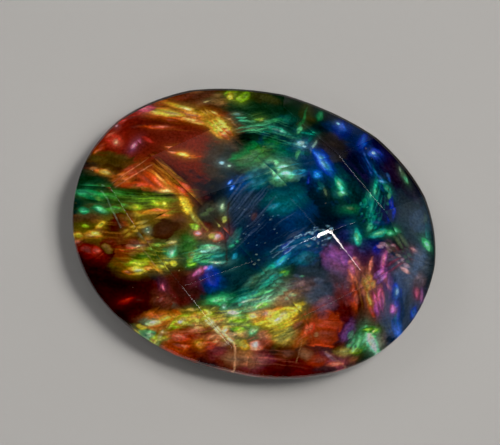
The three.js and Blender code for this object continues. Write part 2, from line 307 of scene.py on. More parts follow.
GREEN_BAND = (
    Flash(-6.3, -1.4, 7.6, 4.1, 12, Hue.OLIVE, 0.25, 1.0, 0.4),
    Flash(-8.7, -1.4, 2.4, 0.6, 10, Hue.EARTH, 0.5, 0.9, 0.3),
    Flash(-6.0, -2.7, 2.6, 1.4, 15, Hue.RUST, 0.6, 0.7, 0.3),
    Flash(-3.9, -0.2, 1.6, 1.4, 0, Hue.EARTH, 0.5, 0.95, 0.3),
    Flash(-4.7, -2.3, 1.6, 0.9, 18, Hue.MOSS, 0.5, 0.9, 0.4),
    Flash(-3.3, -1.6, 1.4, 1.7, 0, Hue.MOSS, 0.4, 1.0, 0.4),
    Flash(-3.4, -1.5, 0.9, 1.1, 0, Hue.GREEN, 0.8, 0.35, 0.4),
    Flash(-9.0, 0.35, 2.4, 0.6, 5, Hue.FOREST, 0.5, 1.0, 0.3),
    Flash(-7.2, 0.1, 5.6, 0.8, 8, Hue.MOSS, 0.4, 0.95, 0.5),
    Flash(-8.9, -0.05, 2.0, 0.5, 4, Hue.EMERALD, 0.5, 0.9, 0.5),
    Flash(-9.4, -0.05, 0.9, 0.26, 4, Hue.MINT, 0.6, 0.5, 0.4),
    Flash(-7.6, 0.12, 2.4, 0.3, 8, Hue.GREEN, 0.6, 0.8, 0.5),
    Flash(-8.9, -0.45, 1.8, 0.2, 5, Hue.FOREST, 0.6, 0.8),
    Flash(-8.2, -0.76, 0.95, 0.42, 3, Hue.EMERALD, 0.5, 1.0),
    Flash(-8.2, -0.76, 0.7, 0.24, 3, Hue.MINT, 0.5, 1.0),
    Flash(-9.08, -1.02, 0.6, 0.4, 10, Hue.EMERALD, 0.5, 1.0),
    Flash(-9.08, -1.02, 0.35, 0.2, 10, Hue.MINT, 0.5, 0.9),
    Flash(-7.1, -0.5, 1.3, 0.26, 8, Hue.GREEN, 0.5, 0.95),
    Flash(-7.1, -0.58, 0.9, 0.12, 8, Hue.LIME, 0.5, 0.9),
    Flash(-6.4, -0.42, 0.75, 0.4, 10, Hue.LIME, 0.5, 1.0, 0.6),
    Flash(-6.4, -0.4, 0.4, 0.2, 10, Hue.YELLOW, 0.5, 0.8),
    Flash(-6.5, -0.85, 1.6, 0.36, 8, Hue.GOLD, 0.5, 0.75),
    Flash(-6.6, -0.95, 0.9, 0.16, 8, Hue.STRAW, 0.5, 0.85),
    Flash(-5.5, -0.55, 1.6, 0.26, 14, Hue.AMBER, 0.5, 0.75),
    Flash(-5.3, 0.0, 0.85, 0.32, 10, Hue.LIME, 0.5, 0.95, 0.6),
    Flash(-5.2, 0.0, 0.6, 0.18, 10, Hue.YELLOW, 0.5, 1.0),
    Flash(-4.85, 0.1, 0.3, 0.32, 60, Hue.YELLOW, 0.5, 0.95),
    Flash(-5.1, -0.36, 1.2, 0.17, 17, Hue.ORANGE, 0.5, 0.9),
    Flash(-5.25, 0.5, 3.9, 0.13, 9, Hue.SOOT, 0.4, 0.9),
    # Painted light: these three pale yellow patches paint the band of light gathered under a ridge of the
    # cap.
    Flash(-3.78, 0.36, 0.85, 0.46, -40, Hue.GOLD, 0.5, 1.0, 0.6),
    Flash(-3.75, 0.34, 0.6, 0.26, -40, Hue.YELLOW, 0.5, 1.0),
    Flash(-3.2, -0.12, 1.3, 0.16, -42, Hue.STRAW, 0.5, 0.85),
    Flash(-3.15, -0.55, 0.6, 0.36, -10, Hue.LIME, 0.5, 0.9, 0.6),
    Flash(-2.6, -0.45, 1.0, 0.6, 0, Hue.WINE, 0.6, 0.85),
    Flash(-2.95, -0.84, 0.5, 0.3, 5, Hue.CORAL, 0.5, 1.0),
    Flash(-2.95, -0.84, 0.32, 0.16, 5, Hue.BLUSH, 0.5, 1.0),
    Flash(-2.5, 0.35, 1.2, 1.0, 0, Hue.SMOKE, 0.6, 0.8),
    Flash(-2.7, 0.3, 0.6, 0.24, 20, Hue.SAGE, 0.6, 0.7),
    Flash(-2.06, 0.62, 0.34, 0.55, 0, Hue.SAGE, 0.6, 0.9),
    Flash(-2.06, 0.64, 0.2, 0.34, 0, Hue.FROST, 0.6, 1.0),
    Flash(-1.86, -0.05, 0.24, 0.34, 0, Hue.STRAW, 0.6, 0.95),
    Flash(-1.85, -0.82, 1.0, 0.52, 0, Hue.SCARLET, 0.35, 0.95),
    Flash(-1.95, -0.8, 0.75, 0.36, 0, Hue.PEACH, 0.4, 1.0),
    Flash(-2.1, -0.82, 0.4, 0.28, 0, Hue.YELLOW, 0.6, 0.7),
    Flash(-1.8, -0.76, 0.3, 0.2, 0, Hue.BLUSH, 0.5, 0.9),
    Flash(-1.55, -1.25, 0.5, 0.4, 0, Hue.MAUVE, 0.6, 0.8),
    Flash(-7.35, -2.3, 2.9, 0.85, 86, Hue.MAROON, 0.25, 1.0, 0.2),
    Flash(-7.2, -1.3, 1.2, 0.5, 70, Hue.MAROON, 0.5, 0.9, 0.2),
    Flash(-6.5, -1.65, 0.7, 0.42, 35, Hue.AMBER, 0.5, 0.95),
    Flash(-6.48, -1.65, 0.45, 0.24, 35, Hue.YELLOW, 0.5, 1.0),
    Flash(-6.6, -1.1, 1.0, 0.2, -35, Hue.ORANGE, 0.6, 0.6),
    Flash(-5.95, -1.25, 0.9, 0.2, 25, Hue.GOLD, 0.6, 0.6),
    Flash(-7.98, -1.62, 0.75, 0.36, 48, Hue.GOLD, 0.5, 0.95),
    Flash(-7.95, -1.6, 0.5, 0.2, 48, Hue.YELLOW, 0.5, 1.0),
    Flash(-8.85, -1.86, 0.5, 0.22, 5, Hue.LIME, 0.5, 0.95),
    Flash(-8.3, -2.25, 1.3, 0.5, 12, Hue.AMBER, 0.5, 0.95, 0.6),
    Flash(-8.15, -2.15, 0.7, 0.28, 12, Hue.YELLOW, 0.5, 0.85),
    Flash(-9.12, -2.45, 0.7, 0.5, 0, Hue.ORANGE, 0.5, 0.95),
    Flash(-9.12, -2.42, 0.45, 0.28, 0, Hue.YELLOW, 0.5, 1.0),
    Flash(-9.05, -2.82, 0.5, 0.2, 0, Hue.CORAL, 0.5, 0.9),
    Flash(-8.3, -3.25, 2.2, 1.0, -4, Hue.WINE, 0.4, 1.0, 0.4),
    Flash(-8.4, -3.15, 1.7, 0.6, 0, Hue.CRIMSON, 0.7, 0.7),
    Flash(-7.95, -3.06, 0.6, 0.42, 0, Hue.SCARLET, 0.6, 0.8),
    Flash(-7.85, -3.05, 0.24, 0.2, 0, Hue.CORAL, 0.6, 0.6),
    Flash(-8.1, -3.95, 1.8, 0.6, -10, Hue.MAROON, 0.5, 0.9),
    Flash(-5.4, -2.62, 1.3, 0.6, 20, Hue.MOSS, 0.5, 0.95, 0.4),
    Flash(-5.3, -2.5, 0.8, 0.3, 20, Hue.GREEN, 0.8, 0.5),
    Flash(-6.25, -2.24, 1.5, 0.42, 22, Hue.CRIMSON, 0.5, 0.95),
    Flash(-6.2, -2.2, 1.3, 0.28, 20, Hue.SCARLET, 0.5, 1.0),
    Flash(-6.68, -2.45, 0.42, 0.36, 30, Hue.FLAME, 0.5, 1.0),
    Flash(-5.9, -2.08, 0.95, 0.17, 14, Hue.PEACH, 0.5, 1.0),
    Flash(-5.75, -2.05, 0.5, 0.1, 14, Hue.CREAM, 0.5, 0.9),
    Flash(-5.62, -3.02, 1.6, 0.42, 23, Hue.LIME, 0.4, 1.0, 0.6),
    Flash(-5.5, -2.98, 1.0, 0.2, 23, Hue.YELLOW, 0.5, 1.0),
    Flash(-5.3, -2.72, 0.9, 0.15, 20, Hue.LIME, 0.5, 0.9),
    Flash(-5.62, -3.45, 1.5, 0.4, 17, Hue.GOLD, 0.4, 1.0, 0.6),
    Flash(-5.55, -3.43, 1.05, 0.24, 17, Hue.YELLOW, 0.4, 1.0),
    Flash(-5.5, -3.4, 0.5, 0.1, 17, Hue.CREAM, 0.5, 0.8),
    Flash(-6.1, -3.66, 0.7, 0.24, 12, Hue.ORANGE, 0.5, 0.95),
    Flash(-5.0, -3.14, 0.5, 0.24, 20, Hue.ORANGE, 0.5, 0.9),
    Flash(-4.6, -2.98, 0.9, 0.26, -25, Hue.AMBER, 0.6, 0.8),
    Flash(-4.3, -2.84, 0.8, 0.16, 5, Hue.GOLD, 0.5, 0.9),
    Flash(-3.86, -2.76, 0.46, 0.28, 10, Hue.YELLOW, 0.5, 1.0),
    Flash(-4.15, -2.15, 0.8, 0.8, 80, Hue.EMERALD, 0.6, 0.8),
    Flash(-4.08, -2.15, 0.75, 0.5, 80, Hue.MINT, 0.5, 1.0),
    Flash(-4.05, -2.2, 0.35, 0.24, 80, Hue.FROST, 0.6, 0.7),
    Flash(-4.25, -1.7, 0.6, 0.22, 15, Hue.STRAW, 0.5, 1.0),
    Flash(-4.2, -1.69, 0.35, 0.12, 15, Hue.CREAM, 0.5, 1.0),
    Flash(-4.85, -1.95, 0.9, 0.2, 20, Hue.GREEN, 0.6, 0.7),
    Flash(-2.2, -1.95, 2.0, 1.1, 18, Hue.TEAL, 0.3, 1.0, 0.5),
    Flash(-2.9, -2.15, 0.8, 0.9, 20, Hue.GREEN, 0.6, 0.7),
    Flash(-2.95, -2.1, 0.5, 0.5, 20, Hue.STRAW, 0.7, 0.55),
    Flash(-2.05, -1.48, 1.1, 0.34, 12, Hue.MINT, 0.5, 1.0),
    Flash(-1.95, -1.48, 0.7, 0.18, 12, Hue.FROST, 0.5, 1.0),
    Flash(-2.4, -1.8, 1.1, 0.14, 27, Hue.FROST, 0.5, 0.85),
    Flash(-2.2, -2.0, 1.2, 0.12, 27, Hue.MINT, 0.5, 0.85),
    Flash(-1.6, -1.85, 0.8, 0.14, 20, Hue.TURQUOISE, 0.5, 0.8),
    Flash(-1.65, -2.2, 1.4, 0.17, 14, Hue.TURQUOISE, 0.4, 1.0),
    Flash(-1.55, -2.19, 1.0, 0.09, 14, Hue.FROST, 0.4, 0.9),
    Flash(-2.9, -2.66, 0.7, 0.3, 25, Hue.GREEN, 0.5, 0.95),
    Flash(-2.88, -2.64, 0.45, 0.14, 25, Hue.LIME, 0.5, 1.0),
)

DARK_CORNER = (
    Flash(-6.0, -4.9, 5.4, 2.8, -8, Hue.SOOT, 0.25, 1.0, 0.2),
    Flash(-5.9, -5.5, 4.0, 1.2, -15, Hue.MAROON, 0.8, 0.7, 0.3),
    Flash(-5.0, -4.6, 1.8, 1.6, 0, Hue.MAROON, 0.8, 0.6, 0.3),
    Flash(-3.2, -3.9, 2.2, 1.9, 10, Hue.WINE, 0.5, 0.8, 0.4),
    Flash(-3.0, -3.7, 1.6, 1.2, 10, Hue.UMBER, 0.7, 0.6, 0.4),
    Flash(-5.85, -5.3, 1.0, 0.28, 30, Hue.CRIMSON, 0.5, 0.95),
    Flash(-5.8, -5.27, 0.7, 0.15, 30, Hue.SCARLET, 0.5, 0.95),
    Flash(-5.2, -5.1, 0.7, 0.3, 20, Hue.WINE, 0.7, 0.7),
    Flash(-4.1, -3.7, 1.0, 0.5, -70, Hue.PLUM, 0.8, 0.85),
    Flash(-3.95, -3.95, 0.55, 0.2, -65, Hue.ROSE, 0.6, 0.85),
    Flash(-3.93, -4.0, 0.3, 0.1, -65, Hue.PINK, 0.5, 0.9),
    Flash(-1.75, -3.05, 1.4, 1.3, 0, Hue.SAPPHIRE, 0.5, 0.95, 0.3),
    Flash(-1.8, -2.9, 1.0, 0.8, -30, Hue.COBALT, 0.6, 0.8, 0.4),
    Flash(-2.0, -2.6, 0.6, 0.42, 60, Hue.AZURE, 0.6, 0.9, 0.5),
    Flash(-2.42, -2.95, 0.95, 0.38, 58, Hue.ROSE, 0.5, 0.9),
    Flash(-2.5, -3.0, 0.65, 0.22, 58, Hue.PINK, 0.5, 1.0),
    Flash(-2.15, -2.65, 0.4, 0.2, 60, Hue.ORCHID, 0.6, 0.7),
    Flash(-3.0, -3.2, 0.8, 0.2, 30, Hue.EARTH, 0.6, 0.6),
)

FIRE_SHORE = (
    Flash(-2.6, -6.4, 5.4, 2.8, 12, Hue.RUST, 0.35, 1.0, 0.5),
    Flash(0.6, -7.0, 5.0, 1.9, 0, Hue.BRICK, 0.45, 0.95, 0.3),
    Flash(3.2, -6.8, 3.2, 1.9, 8, Hue.WINE, 0.4, 0.95, 0.3),
    Flash(0.2, -5.0, 5.8, 1.7, 10, Hue.OLIVE, 0.5, 0.95, 0.5),
    Flash(-2.4, -4.95, 2.2, 0.5, 15, Hue.OLIVE, 0.5, 0.95, 0.4),
    Flash(-2.0, -6.1, 2.4, 1.3, 10, Hue.BRICK, 0.5, 0.8, 0.4),
    Flash(-2.8, -6.9, 1.8, 1.2, 0, Hue.FLAME, 0.7, 0.5, 0.5),
    Flash(-3.0, -6.7, 0.8, 0.7, 30, Hue.CORAL, 0.8, 0.45, 0.4),
    Flash(-2.5, -7.1, 0.8, 0.5, 0, Hue.ORANGE, 0.7, 0.45, 0.5),
    Flash(-1.6, -7.0, 1.6, 0.9, 0, Hue.EMBER, 0.7, 0.6, 0.4),
    Flash(-0.7, -6.8, 1.2, 1.1, 0, Hue.ROSE, 0.7, 0.45, 0.3),
    Flash(-3.8, -4.95, 0.85, 0.42, 75, Hue.SAGE, 0.5, 0.9),
    Flash(-3.75, -4.98, 0.6, 0.26, 72, Hue.MINT, 0.5, 1.0),
    Flash(-3.75, -5.05, 0.3, 0.12, 72, Hue.FROST, 0.5, 0.8),
    Flash(-3.6, -5.6, 1.7, 0.8, 28, Hue.FLAME, 0.4, 1.0, 0.6),
    Flash(-3.5, -5.55, 1.1, 0.4, 25, Hue.ORANGE, 0.6, 0.85, 0.6),
    Flash(-3.3, -5.4, 0.7, 0.2, 20, Hue.AMBER, 0.5, 0.85),
    Flash(-4.3, -6.1, 1.2, 0.6, 42, Hue.ORANGE, 0.5, 0.9, 0.6),
    Flash(-4.35, -6.0, 0.7, 0.2, 42, Hue.CORAL, 0.5, 0.85),
    Flash(-3.6, -6.15, 0.6, 0.4, 30, Hue.RUST, 0.6, 0.8),
    Flash(-2.75, -5.6, 1.6, 0.6, 42, Hue.LIME, 0.4, 1.0, 0.6),
    Flash(-2.75, -5.55, 1.1, 0.34, 42, Hue.YELLOW, 0.4, 1.0),
    Flash(-2.3, -5.2, 0.6, 0.2, 40, Hue.GOLD, 0.5, 0.9),
    Flash(-2.85, -5.7, 0.35, 0.14, 42, Hue.CREAM, 0.5, 0.8),
    Flash(-3.3, -6.15, 1.1, 0.26, 55, Hue.LIME, 0.5, 0.9),
    Flash(-3.35, -6.2, 0.5, 0.1, 55, Hue.STRAW, 0.5, 0.8),
    Flash(-1.72, -4.92, 0.9, 0.32, 3, Hue.LIME, 0.5, 1.0, 0.6),
    Flash(-1.7, -4.92, 0.6, 0.16, 3, Hue.YELLOW, 0.5, 0.9),
    Flash(-2.3, -4.75, 0.9, 0.18, 22, Hue.STRAW, 0.5, 0.7),
    Flash(-4.45, -6.75, 1.2, 0.55, 0, Hue.GREEN, 0.4, 0.95, 0.6),
    Flash(-4.4, -6.75, 1.0, 0.36, 0, Hue.MINT, 0.5, 1.0, 0.6),
    Flash(-4.3, -6.8, 0.5, 0.2, 0, Hue.FROST, 0.5, 0.9),
    Flash(-4.85, -6.5, 0.5, 0.3, 20, Hue.YELLOW, 0.5, 0.95),
    Flash(-3.74, -6.8, 0.95, 0.36, 84, Hue.LIME, 0.4, 1.0, 0.6),
    Flash(-3.72, -6.75, 0.7, 0.2, 84, Hue.FROST, 0.5, 1.0),
    Flash(-3.95, -6.6, 0.14, 0.5, 0, Hue.EMBER, 0.5, 0.7),
    Flash(-1.9, -5.75, 1.0, 0.5, 28, Hue.CORAL, 0.7, 0.6, 0.5),
    Flash(-1.9, -5.7, 0.6, 0.2, 28, Hue.PEACH, 0.6, 0.7),
    Flash(-2.3, -6.3, 0.8, 0.3, 30, Hue.SCARLET, 0.7, 0.5),
    Flash(-1.2, -5.45, 1.3, 0.8, -35, Hue.TAN, 0.4, 0.6, 0.3),
    Flash(-1.1, -5.75, 1.0, 0.5, -35, Hue.BRICK, 0.6, 0.5, 0.3),
    Flash(-0.5, -5.6, 0.75, 0.5, 50, Hue.ORANGE, 0.5, 0.85),
    Flash(-0.48, -5.6, 0.6, 0.32, 50, Hue.PEACH, 0.5, 1.0),
    Flash(-0.45, -5.65, 0.3, 0.14, 50, Hue.CREAM, 0.5, 0.9),
    Flash(-1.6, -6.62, 0.5, 0.5, 20, Hue.AMBER, 0.6, 0.85),
    Flash(-1.6, -6.62, 0.32, 0.32, 20, Hue.YELLOW, 0.5, 1.0),
    Flash(1.1, -7.1, 1.9, 1.0, 0, Hue.ROSE, 0.7, 0.5, 0.3),
    Flash(2.9, -7.0, 1.8, 0.9, 0, Hue.MAROON, 0.6, 0.7, 0.3),
    Flash(1.6, -6.5, 1.5, 0.9, 0, Hue.EMBER, 0.6, 0.7, 0.4),
    Flash(0.4, -5.55, 1.4, 1.2, 10, Hue.MOSS, 0.4, 1.0, 0.4),
    Flash(0.3, -5.6, 0.9, 0.8, 10, Hue.SAGE, 0.7, 0.5, 0.4),
    Flash(1.0, -5.32, 0.8, 0.48, 65, Hue.EMERALD, 0.5, 1.0),
    Flash(1.0, -5.3, 0.6, 0.3, 65, Hue.MINT, 0.5, 1.0),
    Flash(1.0, -5.3, 0.3, 0.14, 65, Hue.FROST, 0.5, 0.9),
    Flash(1.65, -5.4, 0.7, 0.8, 60, Hue.CORAL, 0.6, 0.6, 0.5),
    Flash(1.25, -5.95, 0.95, 0.55, 30, Hue.CORAL, 0.5, 0.85, 0.5),
    Flash(1.2, -5.9, 0.6, 0.3, 30, Hue.BLUSH, 0.6, 0.85),
    Flash(0.65, -6.2, 0.6, 0.42, 0, Hue.GOLD, 0.5, 0.9),
    Flash(0.65, -6.2, 0.35, 0.22, 0, Hue.STRAW, 0.5, 0.9),
    Flash(0.05, -6.1, 0.5, 0.2, -30, Hue.TAN, 0.6, 0.7),
    Flash(2.4, -5.5, 1.1, 0.8, 30, Hue.OLIVE, 0.5, 0.9, 0.4),
    Flash(2.7, -4.8, 1.8, 1.0, 50, Hue.SAGE, 0.5, 0.85, 0.5),
    Flash(2.5, -4.7, 1.2, 0.14, 50, Hue.STRAW, 0.5, 0.8),
    Flash(2.85, -4.85, 1.1, 0.12, 50, Hue.STRAW, 0.5, 0.7),
    Flash(2.2, -5.1, 0.8, 0.14, 48, Hue.GOLD, 0.5, 0.7),
    Flash(2.95, -5.85, 1.0, 1.0, 0, Hue.UMBER, 0.4, 1.0, 0.2),
    Flash(0.75, -3.2, 1.8, 0.7, 58, Hue.TEAL, 0.4, 1.0, 0.5),
    Flash(0.8, -3.1, 1.3, 0.34, 58, Hue.TURQUOISE, 0.5, 0.9, 0.6),
    Flash(1.0, -2.8, 0.5, 0.2, 50, Hue.MINT, 0.5, 0.8),
    Flash(-0.1, -3.8, 1.3, 0.4, 35, Hue.TEAL, 0.5, 0.95, 0.5),
    Flash(0.0, -3.7, 0.7, 0.2, 35, Hue.TURQUOISE, 0.5, 0.9),
    Flash(1.3, -3.7, 1.6, 0.5, 20, Hue.SAGE, 0.6, 0.9, 0.5),
    Flash(1.15, -3.8, 0.7, 0.2, 30, Hue.GREEN, 0.6, 0.7),
    Flash(1.3, -3.2, 0.7, 0.3, 50, Hue.MAUVE, 0.6, 0.8),
    Flash(1.55, -4.3, 2.6, 0.8, 12, Hue.AMBER, 0.5, 0.9, 0.6),
    Flash(0.85, -4.35, 0.75, 0.55, 0, Hue.YELLOW, 0.5, 1.0, 0.6),
    Flash(0.85, -4.35, 0.4, 0.24, 0, Hue.CREAM, 0.5, 0.7),
    Flash(1.3, -4.22, 0.75, 0.4, 10, Hue.CORAL, 0.5, 0.95),
    Flash(1.4, -4.2, 0.4, 0.16, 10, Hue.BLUSH, 0.5, 0.8),
    Flash(2.0, -3.85, 0.9, 0.3, 45, Hue.ORANGE, 0.5, 0.8),
    Flash(2.3, -4.15, 2.1, 0.85, 42, Hue.GOLD, 0.4, 1.0, 0.6),
    Flash(2.35, -4.1, 1.8, 0.6, 44, Hue.YELLOW, 0.4, 1.0, 0.4),
    Flash(2.4, -4.05, 0.9, 0.24, 46, Hue.CREAM, 0.5, 1.0),
    Flash(2.85, -3.68, 0.7, 0.4, 30, Hue.YELLOW, 0.5, 0.95),
    Flash(1.7, -4.76, 0.6, 0.24, 15, Hue.YELLOW, 0.5, 1.0),
    Flash(0.6, -4.02, 0.8, 0.5, 40, Hue.MINT, 0.6, 0.9, 0.6),
    Flash(0.6, -4.05, 0.5, 0.26, 40, Hue.FROST, 0.5, 0.95),
    Flash(-0.1, -4.5, 1.5, 0.4, 18, Hue.TEAL, 0.5, 0.95, 0.5),
    Flash(-0.3, -4.55, 0.8, 0.24, 12, Hue.FROST, 0.5, 0.95),
    Flash(0.2, -4.35, 0.8, 0.16, 20, Hue.MINT, 0.5, 0.9),
    Flash(-0.4, -5.02, 0.9, 0.26, 50, Hue.LIME, 0.5, 0.95),
    Flash(-0.4, -5.0, 0.6, 0.13, 50, Hue.YELLOW, 0.5, 0.95),
    Flash(0.2, -4.85, 0.9, 0.2, 25, Hue.SAGE, 0.5, 0.8),
    Flash(-0.9, -4.18, 0.85, 0.6, 78, Hue.EMERALD, 0.5, 1.0, 0.6),
    Flash(-0.9, -4.18, 0.65, 0.38, 78, Hue.MINT, 0.5, 1.0),
    Flash(-0.85, -4.3, 0.35, 0.2, 78, Hue.ICE, 0.5, 0.9),
    Flash(-1.8, -4.35, 1.3, 0.4, 30, Hue.MOSS, 0.6, 0.85, 0.4),
    Flash(-1.3, -4.6, 0.6, 0.2, 30, Hue.STRAW, 0.5, 0.7),
)

DEEP_BLUE = (
    Flash(0.5, 0.5, 5.2, 4.8, 60, Hue.NAVY, 0.2, 1.0, 0.4),
    Flash(-0.9, 1.0, 1.4, 2.6, -10, Hue.SLATE, 0.7, 0.35),
    Flash(-0.6, -2.7, 2.6, 2.2, 20, Hue.DEEP_TEAL, 0.6, 0.95, 0.3),
    Flash(-0.5, -3.3, 2.0, 0.8, 30, Hue.INK, 0.8, 0.5, 0.3),
    Flash(-1.0, 2.1, 2.4, 0.7, 38, Hue.SAPPHIRE, 0.6, 0.85),
    Flash(-0.5, 2.3, 1.0, 0.16, 38, Hue.CYAN, 0.6, 0.4),
    Flash(1.2, 1.4, 1.6, 0.9, 30, Hue.TEAL, 0.8, 0.45),
    Flash(1.9, 0.9, 1.8, 1.6, 0, Hue.SAPPHIRE, 0.8, 0.45),
    Flash(-1.0, -0.8, 1.2, 0.36, 75, Hue.TEAL, 0.7, 0.8),
    Flash(-0.95, -1.1, 0.3, 0.16, 60, Hue.TURQUOISE, 0.5, 0.7),
    Flash(-0.68, -1.7, 0.4, 0.24, 60, Hue.CYAN, 0.5, 0.9),
    Flash(-0.3, 0.5, 0.5, 0.32, 80, Hue.EARTH, 0.8, 0.6),
    Flash(2.9, -0.5, 2.4, 1.9, 32, Hue.SAPPHIRE, 0.5, 0.9),
    Flash(2.3, -0.3, 1.7, 0.3, 30, Hue.CYAN, 0.7, 0.25),
    Flash(2.7, -0.9, 1.6, 0.7, 32, Hue.TEAL, 0.7, 0.55),
    Flash(1.5, -1.3, 1.3, 0.4, 56, Hue.CYAN, 0.5, 0.9, 0.8),
    Flash(1.5, -1.2, 0.7, 0.16, 56, Hue.TURQUOISE, 0.5, 0.7),
    Flash(1.0, -1.85, 0.8, 0.34, 52, Hue.TURQUOISE, 0.5, 0.85, 0.8),
    Flash(0.8, -2.7, 3.0, 1.1, 50, Hue.TEAL, 0.7, 0.9, 0.8),
    Flash(0.95, -2.6, 1.1, 0.24, 45, Hue.TURQUOISE, 0.5, 0.85, 0.8),
    Flash(0.6, -3.1, 1.0, 0.16, 50, Hue.CYAN, 0.5, 0.8),
    Flash(0.35, -3.45, 0.9, 0.2, 45, Hue.TURQUOISE, 0.5, 0.9, 0.8),
    Flash(0.3, -3.5, 0.4, 0.1, 45, Hue.FROST, 0.5, 0.7),
    Flash(-0.1, -3.7, 1.6, 0.4, 34, Hue.TEAL, 0.5, 0.9, 0.8),
    Flash(1.75, -1.95, 0.6, 0.34, 25, Hue.GREEN, 0.6, 0.8),
    Flash(1.7, -1.9, 0.3, 0.13, 25, Hue.LIME, 0.5, 0.7),
    Flash(1.7, -0.7, 1.4, 0.22, 55, Hue.INDIGO, 0.7, 0.8),
    Flash(1.75, -0.65, 0.8, 0.08, 55, Hue.COBALT, 0.6, 0.6),
    Flash(2.1, 0.1, 1.2, 0.2, 45, Hue.STEEL, 0.7, 0.5),
    Flash(3.8, -1.9, 2.8, 2.4, 0, Hue.SLATE, 0.5, 1.0, 0.3),
    Flash(2.5, -2.7, 2.6, 1.2, 25, Hue.MAUVE, 0.7, 0.9, 0.5),
    Flash(2.3, -2.95, 1.2, 0.4, 25, Hue.TAN, 0.8, 0.45),
    Flash(2.7, -2.3, 0.9, 0.3, 20, Hue.BLUSH, 0.8, 0.25),
    Flash(3.6, -3.1, 0.8, 0.4, 20, Hue.STEEL, 0.7, 0.6),
    Flash(3.75, -1.95, 0.5, 0.34, 10, Hue.STEEL, 0.6, 0.7),
    Flash(1.2, -3.2, 0.6, 0.24, 35, Hue.MAUVE, 0.6, 0.6),
    Flash(3.8, 0.35, 0.7, 0.5, 0, Hue.STEEL, 0.6, 0.5, 0.8),
    Flash(3.72, -0.35, 1.7, 0.26, 84, Hue.INK, 0.5, 0.9),
)

